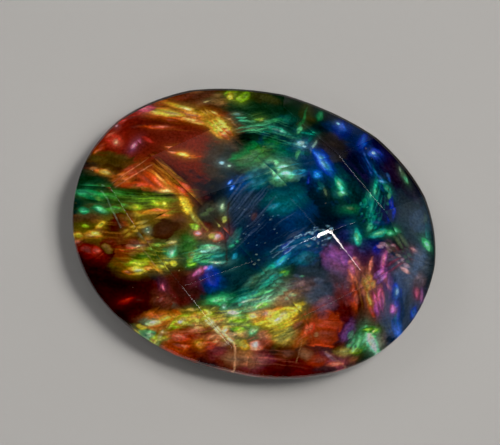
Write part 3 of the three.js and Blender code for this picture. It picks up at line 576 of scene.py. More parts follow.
GREEN_HEADLAND = (
    Flash(-0.6, 6.6, 5.0, 2.8, 4, Hue.FOREST, 0.4, 1.0, 0.6),
    Flash(1.0, 5.0, 3.8, 2.6, -10, Hue.DEEP_TEAL, 0.5, 1.0, 0.6),
    Flash(1.8, 4.0, 2.8, 2.4, 0, Hue.SAPPHIRE, 0.6, 0.8, 0.6),
    Flash(-1.2, 7.4, 2.4, 0.9, -4, Hue.OLIVE, 0.7, 0.6),
    Flash(1.4, 6.9, 1.0, 1.7, 0, Hue.OLIVE, 0.6, 0.6, 0.5),
    Flash(2.15, 7.2, 0.8, 0.35, 80, Hue.EMERALD, 0.7, 0.6),
    Flash(1.25, 6.6, 1.8, 0.14, 84, Hue.EMERALD, 0.6, 0.6),
    Flash(0.4, 6.3, 1.2, 0.6, 20, Hue.TEAL, 0.7, 0.5),
    Flash(-0.2, 6.0, 1.3, 0.3, 20, Hue.EMERALD, 0.7, 0.4),
    Flash(-1.0, 4.0, 1.8, 2.0, -40, Hue.FOREST, 0.6, 0.9),
    Flash(-2.3, 5.65, 0.7, 0.26, 8, Hue.SAGE, 0.6, 0.9),
    Flash(-2.25, 5.65, 0.4, 0.12, 8, Hue.FROST, 0.5, 0.8),
    Flash(-1.4, 5.62, 2.0, 0.14, 18, Hue.MINT, 0.5, 0.85),
    Flash(-1.35, 5.3, 1.9, 0.12, 28, Hue.MINT, 0.5, 0.85),
    Flash(-1.5, 5.05, 1.4, 0.1, 30, Hue.SAGE, 0.5, 0.85),
    Flash(-0.6, 5.1, 1.2, 0.12, 24, Hue.TURQUOISE, 0.5, 0.7),
    Flash(-1.05, 5.72, 0.6, 0.4, 70, Hue.GREEN, 0.6, 0.85, 0.8),
    Flash(-1.1, 5.9, 0.5, 0.14, 30, Hue.LIME, 0.5, 0.9),
    Flash(-1.0, 5.85, 0.2, 0.1, 30, Hue.CREAM, 0.5, 0.7),
    Flash(0.05, 5.42, 1.5, 0.34, -4, Hue.TURQUOISE, 0.5, 0.95, 0.8),
    Flash(0.1, 5.42, 0.8, 0.13, -4, Hue.FROST, 0.5, 0.6),
    Flash(-1.0, 4.65, 2.3, 0.75, 12, Hue.INK, 0.25, 1.0, 0.2),
    Flash(-0.9, 4.62, 1.6, 0.4, 12, Hue.FOREST, 0.6, 0.6, 0.2),
    Flash(-0.5, 3.7, 2.8, 1.5, 20, Hue.EMERALD, 0.7, 0.7, 0.8),
    Flash(-0.35, 3.95, 1.6, 0.9, 40, Hue.GREEN, 0.6, 0.8, 0.8),
    Flash(-0.3, 4.0, 0.7, 0.4, 40, Hue.LIME, 0.8, 0.45, 0.8),
    Flash(-1.1, 3.4, 1.3, 0.5, 30, Hue.SAGE, 0.7, 0.7, 0.7),
    Flash(0.25, 3.0, 2.6, 1.5, 10, Hue.SAGE, 0.7, 0.8, 0.7),
    Flash(0.1, 3.3, 1.1, 0.5, 30, Hue.MINT, 0.7, 0.6, 0.8),
    Flash(0.0, 3.1, 0.8, 0.3, 20, Hue.FROST, 0.8, 0.4),
    Flash(0.3, 2.5, 1.0, 0.4, 20, Hue.MAUVE, 0.8, 0.35),
    Flash(0.75, 3.03, 0.9, 0.6, 12, Hue.MINT, 0.5, 0.95, 0.6),
    Flash(0.75, 3.03, 0.45, 0.3, 12, Hue.FROST, 0.5, 1.0),
    Flash(1.4, 3.35, 1.1, 0.3, 24, Hue.CYAN, 0.6, 0.75, 0.8),
    Flash(1.05, 2.15, 1.2, 0.4, 35, Hue.TURQUOISE, 0.5, 1.0, 0.6),
    Flash(1.1, 2.2, 0.7, 0.18, 35, Hue.MINT, 0.5, 0.9),
    Flash(1.05, 1.75, 0.55, 0.36, 10, Hue.CYAN, 0.5, 1.0),
    Flash(1.05, 1.75, 0.28, 0.16, 10, Hue.ICE, 0.5, 0.8),
    Flash(1.45, 4.87, 0.85, 0.6, 20, Hue.CYAN, 0.6, 0.8),
    Flash(1.4, 4.88, 0.5, 0.32, 40, Hue.ICE, 0.4, 1.0),
    Flash(1.62, 4.72, 0.35, 0.13, 10, Hue.ICE, 0.4, 1.0),
    Flash(1.35, 4.15, 0.55, 0.17, 82, Hue.MINT, 0.6, 0.85),
    Flash(2.15, 4.95, 0.8, 0.15, 80, Hue.FROST, 0.5, 0.95),
    Flash(1.2, 5.75, 0.5, 0.22, 70, Hue.MINT, 0.5, 0.9),
    Flash(1.75, 5.65, 0.9, 0.14, 6, Hue.TURQUOISE, 0.5, 0.9),
    Flash(1.9, 5.3, 0.7, 0.2, 70, Hue.TEAL, 0.5, 0.8),
    Flash(0.7, 4.6, 0.9, 0.3, 30, Hue.TEAL, 0.6, 0.8),
    Flash(-2.45, 2.85, 0.34, 0.22, 0, Hue.ICE, 0.6, 0.8),
    Flash(-2.0, 2.78, 0.22, 0.12, 0, Hue.FROST, 0.6, 0.7),
    Flash(-1.8, 1.75, 0.45, 0.16, 60, Hue.AZURE, 0.6, 0.8),
)

VIOLET_CORNER = (
    Flash(6.2, 4.4, 5.8, 4.0, -35, Hue.VIOLET, 0.35, 1.0, 0.3),
    Flash(3.9, 6.3, 2.8, 2.0, -15, Hue.SAPPHIRE, 0.5, 0.8, 0.4),
    Flash(3.0, 5.3, 1.9, 1.7, 0, Hue.SMOKE, 0.5, 0.9, 0.3),
    Flash(3.9, 2.5, 3.6, 3.0, 0, Hue.INK, 0.5, 0.95, 0.4),
    Flash(4.2, 3.3, 3.2, 1.5, -38, Hue.DEEP_TEAL, 0.4, 0.95, 0.4),
    Flash(4.8, 1.95, 2.2, 1.0, 18, Hue.DEEP_TEAL, 0.6, 0.9, 0.4),
    Flash(4.6, 4.7, 2.0, 1.1, -35, Hue.INK, 0.4, 0.95, 0.3),
    Flash(6.8, 4.9, 2.2, 1.7, -55, Hue.PLUM, 0.5, 0.9, 0.3),
    Flash(8.2, 2.8, 3.0, 3.6, 0, Hue.SLATE, 0.4, 0.9, 0.2),
    Flash(7.8, 4.2, 1.6, 1.0, -45, Hue.PLUM, 0.6, 0.6, 0.3),
    Flash(3.45, 6.65, 1.5, 0.95, 85, Hue.COBALT, 0.7, 0.55, 0.5),
    Flash(3.45, 6.7, 0.9, 0.6, 85, Hue.AZURE, 0.8, 0.4, 0.5),
    Flash(3.2, 6.9, 0.24, 0.2, 0, Hue.ICE, 0.6, 0.9),
    Flash(4.72, 6.2, 1.3, 0.42, 76, Hue.COBALT, 0.6, 0.9, 0.5),
    Flash(4.75, 6.2, 0.8, 0.2, 76, Hue.AZURE, 0.6, 0.8),
    Flash(5.4, 5.6, 1.5, 1.2, 20, Hue.INDIGO, 0.5, 0.95, 0.4),
    Flash(5.42, 5.68, 0.95, 0.7, 20, Hue.COBALT, 0.5, 1.0, 0.6),
    Flash(5.4, 5.66, 0.6, 0.4, 20, Hue.AZURE, 0.5, 1.0),
    Flash(5.36, 5.7, 0.3, 0.2, 20, Hue.ICE, 0.5, 0.95),
    Flash(5.3, 4.7, 1.4, 0.8, -65, Hue.SAPPHIRE, 0.6, 0.9, 0.5),
    Flash(5.1, 4.8, 0.9, 0.2, -65, Hue.AZURE, 0.6, 0.6),
    Flash(5.5, 4.6, 0.8, 0.16, -65, Hue.CYAN, 0.6, 0.45),
    Flash(2.85, 4.2, 1.7, 0.85, -38, Hue.COBALT, 0.4, 1.0, 0.4),
    Flash(2.85, 4.22, 1.35, 0.5, -38, Hue.AZURE, 0.4, 1.0, 0.5),
    Flash(2.85, 4.2, 0.85, 0.26, -38, Hue.CYAN, 0.5, 1.0),
    Flash(2.75, 4.2, 0.4, 0.14, -38, Hue.ICE, 0.5, 0.7),
    Flash(2.45, 3.45, 0.65, 0.5, -20, Hue.AZURE, 0.6, 0.9, 0.5),
    Flash(2.45, 3.47, 0.4, 0.28, -20, Hue.CYAN, 0.6, 0.9),
    Flash(1.98, 3.2, 1.2, 0.2, -82, Hue.INDIGO, 0.6, 0.95),
    Flash(2.0, 2.95, 0.5, 0.09, -82, Hue.COBALT, 0.6, 0.9),
    Flash(3.85, 3.2, 1.15, 0.62, -62, Hue.TEAL, 0.5, 0.95, 0.6),
    Flash(3.8, 3.25, 0.85, 0.4, -62, Hue.TURQUOISE, 0.5, 1.0, 0.6),
    Flash(3.78, 3.3, 0.4, 0.2, -62, Hue.MINT, 0.5, 0.9),
    Flash(4.0, 2.75, 0.45, 0.3, 10, Hue.MINT, 0.6, 0.85),
    Flash(2.8, 2.75, 0.4, 0.16, 30, Hue.TEAL, 0.6, 0.7),
    Flash(3.1, 2.6, 0.5, 0.13, -60, Hue.SAGE, 0.6, 0.5),
    Flash(4.7, 2.0, 1.5, 0.6, 18, Hue.EMERALD, 0.8, 0.3, 0.5),
    Flash(4.55, 2.03, 0.45, 0.13, 0, Hue.SAGE, 0.6, 0.8),
    Flash(5.75, 3.0, 2.0, 0.5, 86, Hue.TEAL, 0.5, 0.9, 0.5),
    Flash(6.15, 3.4, 0.9, 0.55, 80, Hue.NAVY, 0.5, 0.9),
    Flash(5.66, 3.5, 1.1, 0.26, 86, Hue.TURQUOISE, 0.5, 1.0, 0.5),
    Flash(5.66, 3.2, 0.5, 0.13, 86, Hue.MINT, 0.5, 0.9),
    Flash(6.0, 4.02, 0.65, 0.26, 10, Hue.CYAN, 0.5, 0.85),
    Flash(6.4, 3.72, 0.7, 0.3, -42, Hue.TURQUOISE, 0.5, 0.95),
    Flash(6.42, 3.72, 0.4, 0.15, -42, Hue.MINT, 0.5, 0.95),
    Flash(6.55, 3.26, 0.4, 0.2, 85, Hue.MINT, 0.5, 0.9),
    Flash(6.7, 2.7, 1.1, 0.26, 88, Hue.COBALT, 0.5, 0.95),
    Flash(5.76, 2.1, 1.3, 0.34, 86, Hue.TURQUOISE, 0.6, 0.7, 0.5),
    Flash(5.74, 1.5, 0.5, 0.26, 80, Hue.MINT, 0.6, 0.7),
    Flash(6.1, 1.9, 0.8, 0.3, 20, Hue.SAPPHIRE, 0.7, 0.7),
    Flash(6.3, 1.32, 1.2, 0.36, 32, Hue.TURQUOISE, 0.4, 1.0, 0.5),
    Flash(6.3, 1.32, 0.8, 0.17, 32, Hue.MINT, 0.5, 0.9),
    Flash(6.95, 1.5, 0.6, 0.34, 5, Hue.EMERALD, 0.5, 1.0),
    Flash(6.95, 1.5, 0.35, 0.18, 5, Hue.MINT, 0.5, 0.9),
    Flash(7.35, 4.9, 1.1, 0.36, -60, Hue.SAGE, 0.6, 0.65),
    Flash(7.5, 4.7, 0.5, 0.2, -55, Hue.MINT, 0.6, 0.8),
    Flash(7.05, 5.3, 0.4, 0.14, -75, Hue.FROST, 0.6, 0.6),
    Flash(9.15, 2.05, 1.1, 0.3, -76, Hue.TEAL, 0.7, 0.85, 0.5),
    Flash(9.18, 1.4, 0.75, 0.5, -35, Hue.EMERALD, 0.5, 1.0, 0.5),
    Flash(9.18, 1.42, 0.45, 0.3, -35, Hue.MINT, 0.5, 1.0),
    Flash(8.85, 2.9, 0.6, 0.24, -75, Hue.SAGE, 0.7, 0.4),
    Flash(4.7, 0.85, 1.8, 1.2, 28, Hue.NAVY, 0.5, 0.95),
    Flash(4.45, 0.75, 1.2, 0.6, 35, Hue.INDIGO, 0.6, 0.8, 0.4),
    Flash(6.0, 0.3, 2.4, 1.2, 0, Hue.INDIGO, 0.6, 0.9),
    Flash(5.15, 0.72, 1.0, 0.5, -70, Hue.TURQUOISE, 0.5, 0.95, 0.5),
    Flash(5.1, 0.75, 0.6, 0.22, -60, Hue.MINT, 0.6, 0.6),
    Flash(6.4, 0.35, 0.8, 0.42, 80, Hue.COBALT, 0.6, 0.85, 0.5),
    Flash(5.4, 0.1, 0.7, 0.4, 0, Hue.SAPPHIRE, 0.6, 0.8),
    Flash(7.3, 0.7, 1.2, 0.4, -28, Hue.MAUVE, 0.7, 0.6, 0.5),
    Flash(7.6, 1.1, 1.2, 0.3, -35, Hue.SAGE, 0.7, 0.45, 0.5),
    Flash(8.4, 0.72, 0.95, 0.34, -14, Hue.ROSE, 0.6, 0.8, 0.5),
    Flash(8.4, 0.74, 0.6, 0.18, -14, Hue.BLUSH, 0.6, 0.85),
    Flash(9.0, 0.2, 1.5, 1.2, 0, Hue.SLATE, 0.7, 0.7),
)

ROSE_CORNER = (
    Flash(8.3, -1.8, 3.0, 4.8, 12, Hue.STEEL, 0.4, 0.8, 0.3),
    Flash(8.9, -2.3, 2.6, 0.9, 108, Hue.SLATE, 0.7, 0.7, 0.3),
    Flash(5.9, -1.2, 3.4, 2.8, -60, Hue.VIOLET, 0.5, 0.95, 0.4),
    Flash(4.5, -0.5, 1.8, 1.4, -30, Hue.ORCHID, 0.7, 0.5, 0.4),
    Flash(4.9, -1.4, 1.8, 1.3, -45, Hue.MAUVE, 0.7, 0.45, 0.4),
    Flash(6.3, -1.5, 2.2, 1.3, -70, Hue.ROSE, 0.7, 0.55, 0.5),
    Flash(5.3, -2.7, 1.8, 1.2, -50, Hue.EMBER, 0.7, 0.75, 0.4),
    Flash(5.6, -3.2, 2.4, 1.0, 5, Hue.WINE, 0.5, 0.8, 0.3),
    Flash(4.5, -4.2, 2.4, 2.2, 0, Hue.RUST, 0.3, 1.0, 0.3),
    Flash(4.3, -4.0, 1.5, 1.2, 0, Hue.FLAME, 0.8, 0.45, 0.4),
    Flash(4.1, -3.2, 1.6, 0.7, 38, Hue.RUST, 0.6, 0.6, 0.3),
    Flash(4.7, -4.65, 1.3, 1.2, 0, Hue.RUST, 0.25, 0.9, 0.2),
    Flash(3.65, -4.4, 1.0, 0.5, 78, Hue.SCARLET, 0.5, 0.95, 0.5),
    Flash(3.65, -4.3, 0.6, 0.26, 78, Hue.CORAL, 0.5, 0.9),
    Flash(4.15, -4.65, 0.3, 0.26, 0, Hue.TAN, 0.6, 0.9),
    Flash(4.7, -5.22, 1.4, 0.16, 5, Hue.FLAME, 0.6, 0.8),
    Flash(6.0, -4.2, 1.8, 1.3, 80, Hue.PLUM, 0.5, 0.95, 0.4),
    Flash(5.9, -4.1, 1.3, 0.7, 75, Hue.ORCHID, 0.8, 0.4, 0.5),
    Flash(5.6, -5.1, 0.8, 0.6, 60, Hue.WINE, 0.6, 0.85),
    Flash(4.3, -6.0, 1.6, 1.4, 0, Hue.EMBER, 0.6, 0.9, 0.4),
    Flash(4.0, -5.9, 0.9, 0.8, 0, Hue.TAN, 0.8, 0.35, 0.4),
    Flash(5.4, -5.95, 1.8, 0.6, -25, Hue.ROSE, 0.6, 0.85, 0.5),
    Flash(5.4, -5.85, 1.2, 0.18, -25, Hue.BLUSH, 0.6, 0.5),
    Flash(6.4, -5.6, 1.4, 0.7, 30, Hue.EARTH, 0.6, 0.9, 0.4),
    Flash(6.6, -5.6, 0.7, 0.24, 35, Hue.TAN, 0.7, 0.5),
    Flash(7.7, -4.1, 1.6, 0.8, -62, Hue.MAUVE, 0.6, 0.8, 0.4),
    Flash(6.8, -4.5, 1.5, 0.85, 82, Hue.GREEN, 0.5, 0.95, 0.6),
    Flash(6.75, -4.35, 0.9, 0.5, 80, Hue.MINT, 0.6, 0.8, 0.6),
    Flash(6.6, -5.12, 0.7, 0.36, 20, Hue.LIME, 0.5, 0.95),
    Flash(7.28, -3.78, 0.75, 0.5, 20, Hue.GREEN, 0.5, 1.0, 0.6),
    Flash(7.28, -3.75, 0.45, 0.24, 20, Hue.LIME, 0.5, 0.95),
    Flash(7.38, -4.45, 1.7, 0.6, -53, Hue.MINT, 0.35, 1.0, 0.3),
    Flash(7.38, -4.48, 1.4, 0.4, -53, Hue.FROST, 0.35, 1.0, 0.2),
    Flash(5.45, -0.9, 1.1, 0.5, -66, Hue.CORAL, 0.6, 0.85, 0.6),
    Flash(5.42, -0.85, 0.7, 0.3, -66, Hue.PINK, 0.5, 0.85),
    Flash(4.9, -0.5, 0.9, 0.3, -50, Hue.ORCHID, 0.6, 0.8, 0.6),
    Flash(5.62, -1.55, 0.9, 0.3, -76, Hue.CORAL, 0.6, 0.8, 0.6),
    Flash(5.8, -2.35, 1.7, 0.5, -72, Hue.RUST, 0.5, 0.95, 0.6),
    Flash(5.8, -2.3, 1.2, 0.26, -72, Hue.FLAME, 0.6, 0.85, 0.6),
    Flash(6.22, -2.6, 1.6, 0.42, -66, Hue.MAROON, 0.5, 0.95, 0.3),
    Flash(6.6, -2.2, 1.9, 0.48, -63, Hue.FLAME, 0.4, 1.0, 0.6),
    Flash(6.56, -2.15, 1.6, 0.28, -63, Hue.ORANGE, 0.4, 1.0),
    Flash(6.48, -2.0, 1.1, 0.18, -63, Hue.YELLOW, 0.4, 1.0),
    Flash(6.45, -1.95, 0.8, 0.09, -63, Hue.CREAM, 0.4, 0.9),
    Flash(6.78, -2.65, 0.7, 0.24, -63, Hue.SCARLET, 0.5, 0.9),
    Flash(6.26, -1.35, 0.5, 0.5, 60, Hue.AMBER, 0.6, 0.9),
    Flash(6.26, -1.32, 0.3, 0.26, 60, Hue.STRAW, 0.6, 0.8),
    Flash(6.24, -0.6, 0.9, 0.22, 86, Hue.CORAL, 0.6, 0.8),
    Flash(6.92, -0.1, 1.4, 0.3, 88, Hue.ORCHID, 0.5, 1.0),
    Flash(6.92, -0.05, 1.0, 0.17, 88, Hue.PINK, 0.5, 1.0),
    Flash(6.92, 0.0, 0.4, 0.08, 88, Hue.BLUSH, 0.5, 0.7),
    Flash(6.72, -0.9, 0.9, 0.26, 58, Hue.ORCHID, 0.5, 0.95),
    Flash(7.5, -0.05, 1.3, 0.16, 38, Hue.ROSE, 0.6, 0.9),
    Flash(6.98, -2.0, 1.5, 0.42, -72, Hue.PINK, 0.5, 0.95, 0.6),
    Flash(7.05, -2.5, 0.8, 0.24, -68, Hue.ORCHID, 0.6, 0.9),
    Flash(7.3, -1.2, 1.2, 0.5, -75, Hue.ORCHID, 0.8, 0.4),
    Flash(8.25, -2.5, 3.3, 0.7, -70, Hue.SAPPHIRE, 0.5, 0.9, 0.5),
    Flash(8.2, -2.5, 2.2, 0.34, -68, Hue.COBALT, 0.6, 0.85, 0.5),
    Flash(8.15, -2.6, 1.3, 0.18, -68, Hue.CYAN, 0.6, 0.8),
    Flash(7.86, -1.45, 1.1, 0.6, -80, Hue.COBALT, 0.5, 0.95, 0.5),
    Flash(7.86, -1.45, 0.8, 0.38, -80, Hue.AZURE, 0.5, 1.0),
    Flash(7.86, -1.4, 0.4, 0.17, -80, Hue.ICE, 0.6, 0.8),
    Flash(7.97, -2.45, 0.65, 0.4, -60, Hue.ORCHID, 0.5, 0.95),
    Flash(7.95, -2.45, 0.35, 0.18, -60, Hue.PINK, 0.5, 0.85),
    Flash(8.55, -3.5, 1.2, 0.6, -62, Hue.AZURE, 0.8, 0.6, 0.5),
    Flash(9.15, -1.2, 0.85, 0.5, -80, Hue.ROSE, 0.6, 0.9),
    Flash(9.15, -1.2, 0.55, 0.28, -80, Hue.PINK, 0.5, 0.95),
    Flash(9.5, -1.3, 0.9, 0.2, -82, Hue.ORCHID, 0.6, 0.7),
    Flash(9.36, -2.5, 0.95, 0.5, -75, Hue.COBALT, 0.6, 0.95),
    Flash(9.36, -2.45, 0.6, 0.28, -75, Hue.AZURE, 0.6, 0.95),
    Flash(8.05, -0.15, 0.6, 0.2, -20, Hue.BLUSH, 0.7, 0.6),
)

LATE_FLASHES = (
    Flash(-4.8, -1.08, 1.75, 1.05, 30, Hue.UMBER, 0.15, 1.0, 0.1),
    Flash(-4.7, -1.1, 0.9, 0.5, 30, Hue.EARTH, 0.9, 0.3, 0.1),
    Flash(-5.65, -1.38, 0.3, 0.34, 0, Hue.FOREST, 0.3, 0.95, 0.1),
    Flash(-5.68, -1.3, 0.08, 0.07, 0, Hue.FROST, 0.5, 0.9),
    Flash(-5.6, -1.47, 0.08, 0.06, 0, Hue.FROST, 0.5, 0.8),
    Flash(7.3, -4.3, 1.9, 0.5, -56, Hue.MINT, 0.2, 1.0, 0.3),
    Flash(7.34, -4.35, 1.6, 0.3, -57, Hue.FROST, 0.15, 1.0, 0.2),
    Flash(7.0, -3.75, 0.8, 0.35, 15, Hue.GREEN, 0.2, 0.9, 0.5),
    Flash(6.95, -3.72, 0.5, 0.14, 15, Hue.LIME, 0.3, 0.9, 0.5),
    Flash(2.3, -4.35, 1.1, 0.35, 30, Hue.YELLOW, 0.3, 0.9, 0.5),
    Flash(2.15, -4.3, 0.6, 0.14, 32, Hue.CREAM, 0.4, 0.9, 0.4),
    Flash(1.25, -4.75, 0.9, 0.22, 25, Hue.YELLOW, 0.3, 0.85, 0.5),
    Flash(1.0, -3.05, 1.4, 0.16, 30, Hue.MINT, 0.3, 0.8, 0.6),
    Flash(0.5, -3.6, 1.3, 0.14, 32, Hue.FROST, 0.3, 0.7, 0.6),
    Flash(-1.0, -3.95, 1.1, 0.2, 25, Hue.MINT, 0.3, 0.8, 0.6),
    Flash(0.1, -4.85, 0.9, 0.18, 20, Hue.LIME, 0.3, 0.8, 0.6),
    Flash(0.35, -6.1, 0.6, 0.3, 40, Hue.STRAW, 0.4, 0.8, 0.6),
    Flash(-3.7, -7.0, 0.9, 0.2, 25, Hue.STRAW, 0.3, 0.8, 0.6),
    Flash(-2.6, -7.0, 1.3, 0.3, 8, Hue.FLAME, 0.4, 0.7, 0.7),
    Flash(2.8, -5.3, 0.9, 0.3, 70, Hue.STRAW, 0.4, 0.5, 0.7),
    Flash(2.9, -5.9, 1.1, 0.9, 20, Hue.EARTH, 0.8, 0.7, 0.5),
    Flash(1.8, -5.7, 1.1, 0.5, 10, Hue.RUST, 0.7, 0.6, 0.6),
    Flash(3.2, -4.2, 0.8, 0.7, 60, Hue.RUST, 0.7, 0.6, 0.6),
    Flash(-4.0, -4.7, 0.9, 0.4, 65, Hue.BRICK, 0.6, 0.6, 0.6),
    Flash(-4.05, -3.95, 0.5, 0.16, 70, Hue.ROSE, 0.4, 0.8, 0.5),
    Flash(-2.2, 7.0, 0.6, 0.5, 80, Hue.LIME, 0.4, 0.8, 0.7),
    Flash(-2.8, 6.95, 0.4, 0.3, 80, Hue.YELLOW, 0.4, 0.7, 0.6),
    Flash(-5.9, 5.2, 1.9, 0.42, 0, Hue.YELLOW, 0.3, 1.0, 0.3),
    Flash(-5.7, 5.2, 1.1, 0.2, 0, Hue.CREAM, 0.3, 0.9, 0.3),
    Flash(-7.15, 5.32, 0.9, 0.46, 22, Hue.PINK, 0.4, 0.95, 0.4),
    Flash(-4.5, 5.5, 1.4, 0.24, -8, Hue.GOLD, 0.3, 0.95, 0.4),
    Flash(-3.2, 5.1, 1.1, 0.42, -30, Hue.AMBER, 0.3, 1.0, 0.4),
    Flash(-2.95, 4.9, 0.9, 0.28, -30, Hue.YELLOW, 0.25, 1.0, 0.4),
    Flash(-2.65, 4.55, 0.7, 0.2, -35, Hue.ORANGE, 0.3, 0.9, 0.5),
    Flash(-3.45, 5.5, 0.9, 0.16, -25, Hue.AMBER, 0.3, 0.9, 0.5),
    Flash(-4.65, 5.5, 1.3, 0.2, -8, Hue.AMBER, 0.3, 0.9, 0.5),
    # Partly the shell's colour, partly painted reflection: these grey-blue patches paint the pale reflection
    # on the right facets.
    Flash(8.5, 2.65, 1.6, 1.6, 70, Hue.STEEL, 0.3, 0.35, 0.15),
    Flash(8.75, 0.65, 1.3, 0.9, 70, Hue.STEEL, 0.6, 0.4, 0.2),
    Flash(9.1, -0.5, 0.9, 0.7, 80, Hue.MAUVE, 0.6, 0.5, 0.3),
    Flash(9.2, 1.35, 0.6, 0.3, -60, Hue.MINT, 0.4, 0.9, 0.4),
)

CRACKS_AND_LIGHT_LINES = (
    CrackAndLightLine(((-1.78, 0.9), (-1.7, 0.2), (-1.3, -1.1), (-1.02, -2.15)), 0.13, Hue.MAROON, 0.8, 0.04),
    CrackAndLightLine(((-6.8, 0.4), (-5.0, 0.62), (-3.6, 0.86)), 0.09, Hue.SOOT, 0.6, 0.03),
    CrackAndLightLine(((-8.6, -3.95), (-6.8, -3.95), (-4.9, -3.35), (-3.3, -3.0)), 0.09, Hue.SOOT, 0.7, 0.05),
    CrackAndLightLine(((4.3, -3.75), (5.6, -3.55), (7.6, -3.42)), 0.08, Hue.MAROON, 0.7, 0.03),
    # Painted highlight: these three pale lines paint the glints along the ridges at the table's right corner.
    CrackAndLightLine(((1.6, -0.9), (2.1, -0.1), (2.7, 0.25), (3.35, 0.62)), 0.05, Hue.ICE, 0.75, 0.07),
    CrackAndLightLine(((0.9, -1.2), (1.6, -0.6), (2.6, 0.1)), 0.04, Hue.ICE, 0.5, 0.08),
    CrackAndLightLine(((1.45, 2.0), (2.3, 1.4), (3.3, 0.6)), 0.045, Hue.STEEL, 0.7, 0.03),
    # Painted light: a pale line where light gathers under a ridge of the cap.
    CrackAndLightLine(((-4.0, 0.62), (-3.2, 0.02), (-2.4, -0.6)), 0.12, Hue.STRAW, 0.6, 0.03),
    CrackAndLightLine(((-5.55, -2.1), (-5.1, -2.5), (-4.6, -2.95)), 0.06, Hue.PEACH, 0.6, 0.03),
    # Painted highlight: these two pale lines paint the bright line of light along a ridge of the cap near the
    # bottom.
    CrackAndLightLine(((-1.5, -5.2), (-0.8, -5.65), (0.15, -6.25)), 0.16, Hue.CREAM, 0.95, 0.02),
    CrackAndLightLine(((0.15, -6.25), (0.3, -6.9), (0.42, -7.6)), 0.12, Hue.PEACH, 0.8, 0.02),
    # Painted highlight: a pale line painting the glint of a ridge of the cap near the bottom.
    CrackAndLightLine(((3.62, -5.0), (3.6, -6.4)), 0.05, Hue.TAN, 0.6, 0.02),
    CrackAndLightLine(((4.9, -5.5), (6.25, -6.15)), 0.05, Hue.PEACH, 0.5, 0.02),
    # Painted highlight: these two pale lines paint glints of ridges of the cap at the left.
    CrackAndLightLine(((-8.3, 0.3), (-7.9, 0.0), (-7.2, -0.9), (-6.7, -1.5)), 0.05, Hue.FROST, 0.4, 0.03),
    CrackAndLightLine(((-7.7, 0.45), (-7.0, 1.2), (-6.0, 2.1)), 0.05, Hue.PEACH, 0.45, 0.03),
)

STRIAE = (
    Striae(-0.9, 0.9, 3.0, 1.9, 62, Hue.STEEL, 15, 0.035, 0.55),
    Striae(-0.6, 0.3, 3.0, 1.8, 56, Hue.STEEL, 14, 0.02, 0.4),
    Striae(1.4, 0.3, 1.8, 0.8, 46, Hue.STEEL, 6, 0.02, 0.3),
    Striae(-2.5, -2.05, 1.5, 0.9, 27, Hue.MINT, 14, 0.03, 0.7),
    Striae(-2.6, -2.0, 1.3, 0.8, 27, Hue.FOREST, 10, 0.03, 0.7),
    Striae(-1.3, 5.3, 2.2, 0.8, 26, Hue.MINT, 9, 0.025, 0.5),
    Striae(5.2, 4.8, 1.6, 1.2, -58, Hue.INDIGO, 14, 0.03, 0.4),
    Striae(-6.0, 5.2, 3.0, 1.0, -3, Hue.FLAME, 14, 0.03, 0.45),
    Striae(-5.0, 1.3, 2.6, 0.9, -26, Hue.AMBER, 10, 0.025, 0.3),
    Striae(2.6, -4.6, 1.8, 1.2, 28, Hue.STRAW, 12, 0.03, 0.4),
    Striae(-5.8, 0.05, 3.6, 0.9, 12, Hue.LIME, 16, 0.03, 0.27),
    Striae(-5.6, 0.0, 3.6, 0.9, 13, Hue.FOREST, 16, 0.035, 0.32),
    Striae(-5.2, -2.6, 3.2, 1.2, 12, Hue.YELLOW, 14, 0.03, 0.29),
    Striae(-5.6, -2.2, 3.6, 1.4, 11, Hue.SOOT, 16, 0.035, 0.32),
    Striae(-7.8, -1.9, 2.2, 1.2, 9, Hue.AMBER, 9, 0.03, 0.25),
    Striae(-6.0, 4.9, 3.6, 1.8, -2, Hue.ORANGE, 16, 0.03, 0.27),
    Striae(-5.6, 5.3, 3.8, 1.6, -5, Hue.WINE, 14, 0.035, 0.32),
    Striae(-4.6, 1.6, 3.0, 1.0, -34, Hue.MAROON, 12, 0.035, 0.32),
    Striae(-4.7, 1.5, 2.6, 0.8, -36, Hue.AMBER, 10, 0.025, 0.27),
    Striae(-0.6, 5.4, 3.6, 1.8, -2, Hue.FOREST, 16, 0.035, 0.32),
    Striae(-0.4, 5.3, 3.4, 1.6, -4, Hue.MINT, 12, 0.025, 0.25),
    Striae(0.6, 4.0, 2.2, 1.4, -20, Hue.DEEP_TEAL, 12, 0.035, 0.27),
    Striae(2.9, 3.9, 2.2, 1.2, -40, Hue.NAVY, 12, 0.035, 0.32),
    Striae(5.9, 2.8, 2.6, 1.2, 84, Hue.INK, 14, 0.035, 0.32),
    Striae(5.8, 2.8, 2.4, 1.0, 82, Hue.TURQUOISE, 10, 0.025, 0.27),
    Striae(6.6, -1.6, 3.0, 1.8, -68, Hue.MAROON, 16, 0.035, 0.32),
    Striae(6.4, -1.7, 2.6, 1.2, -64, Hue.AMBER, 8, 0.025, 0.27),
    Striae(8.3, -2.3, 2.8, 1.2, -70, Hue.NAVY, 12, 0.04, 0.32),
    Striae(0.6, -2.9, 3.6, 1.6, 33, Hue.INK, 18, 0.035, 0.29),
    Striae(0.8, -3.0, 3.2, 1.2, 33, Hue.MINT, 12, 0.025, 0.25),
    Striae(-0.8, -5.0, 4.6, 1.6, 20, Hue.EMBER, 20, 0.035, 0.32),
    Striae(-0.4, -4.8, 4.2, 1.4, 22, Hue.YELLOW, 16, 0.025, 0.27),
    Striae(-2.0, -6.3, 3.4, 1.4, 14, Hue.MAROON, 16, 0.035, 0.29),
    Striae(-2.2, -6.2, 3.0, 1.2, 16, Hue.PEACH, 8, 0.025, 0.2),
    Striae(2.2, -6.4, 3.6, 1.2, 8, Hue.CORAL, 8, 0.03, 0.18),
    Striae(6.7, -4.7, 1.6, 1.4, 70, Hue.FOREST, 12, 0.035, 0.32),
)

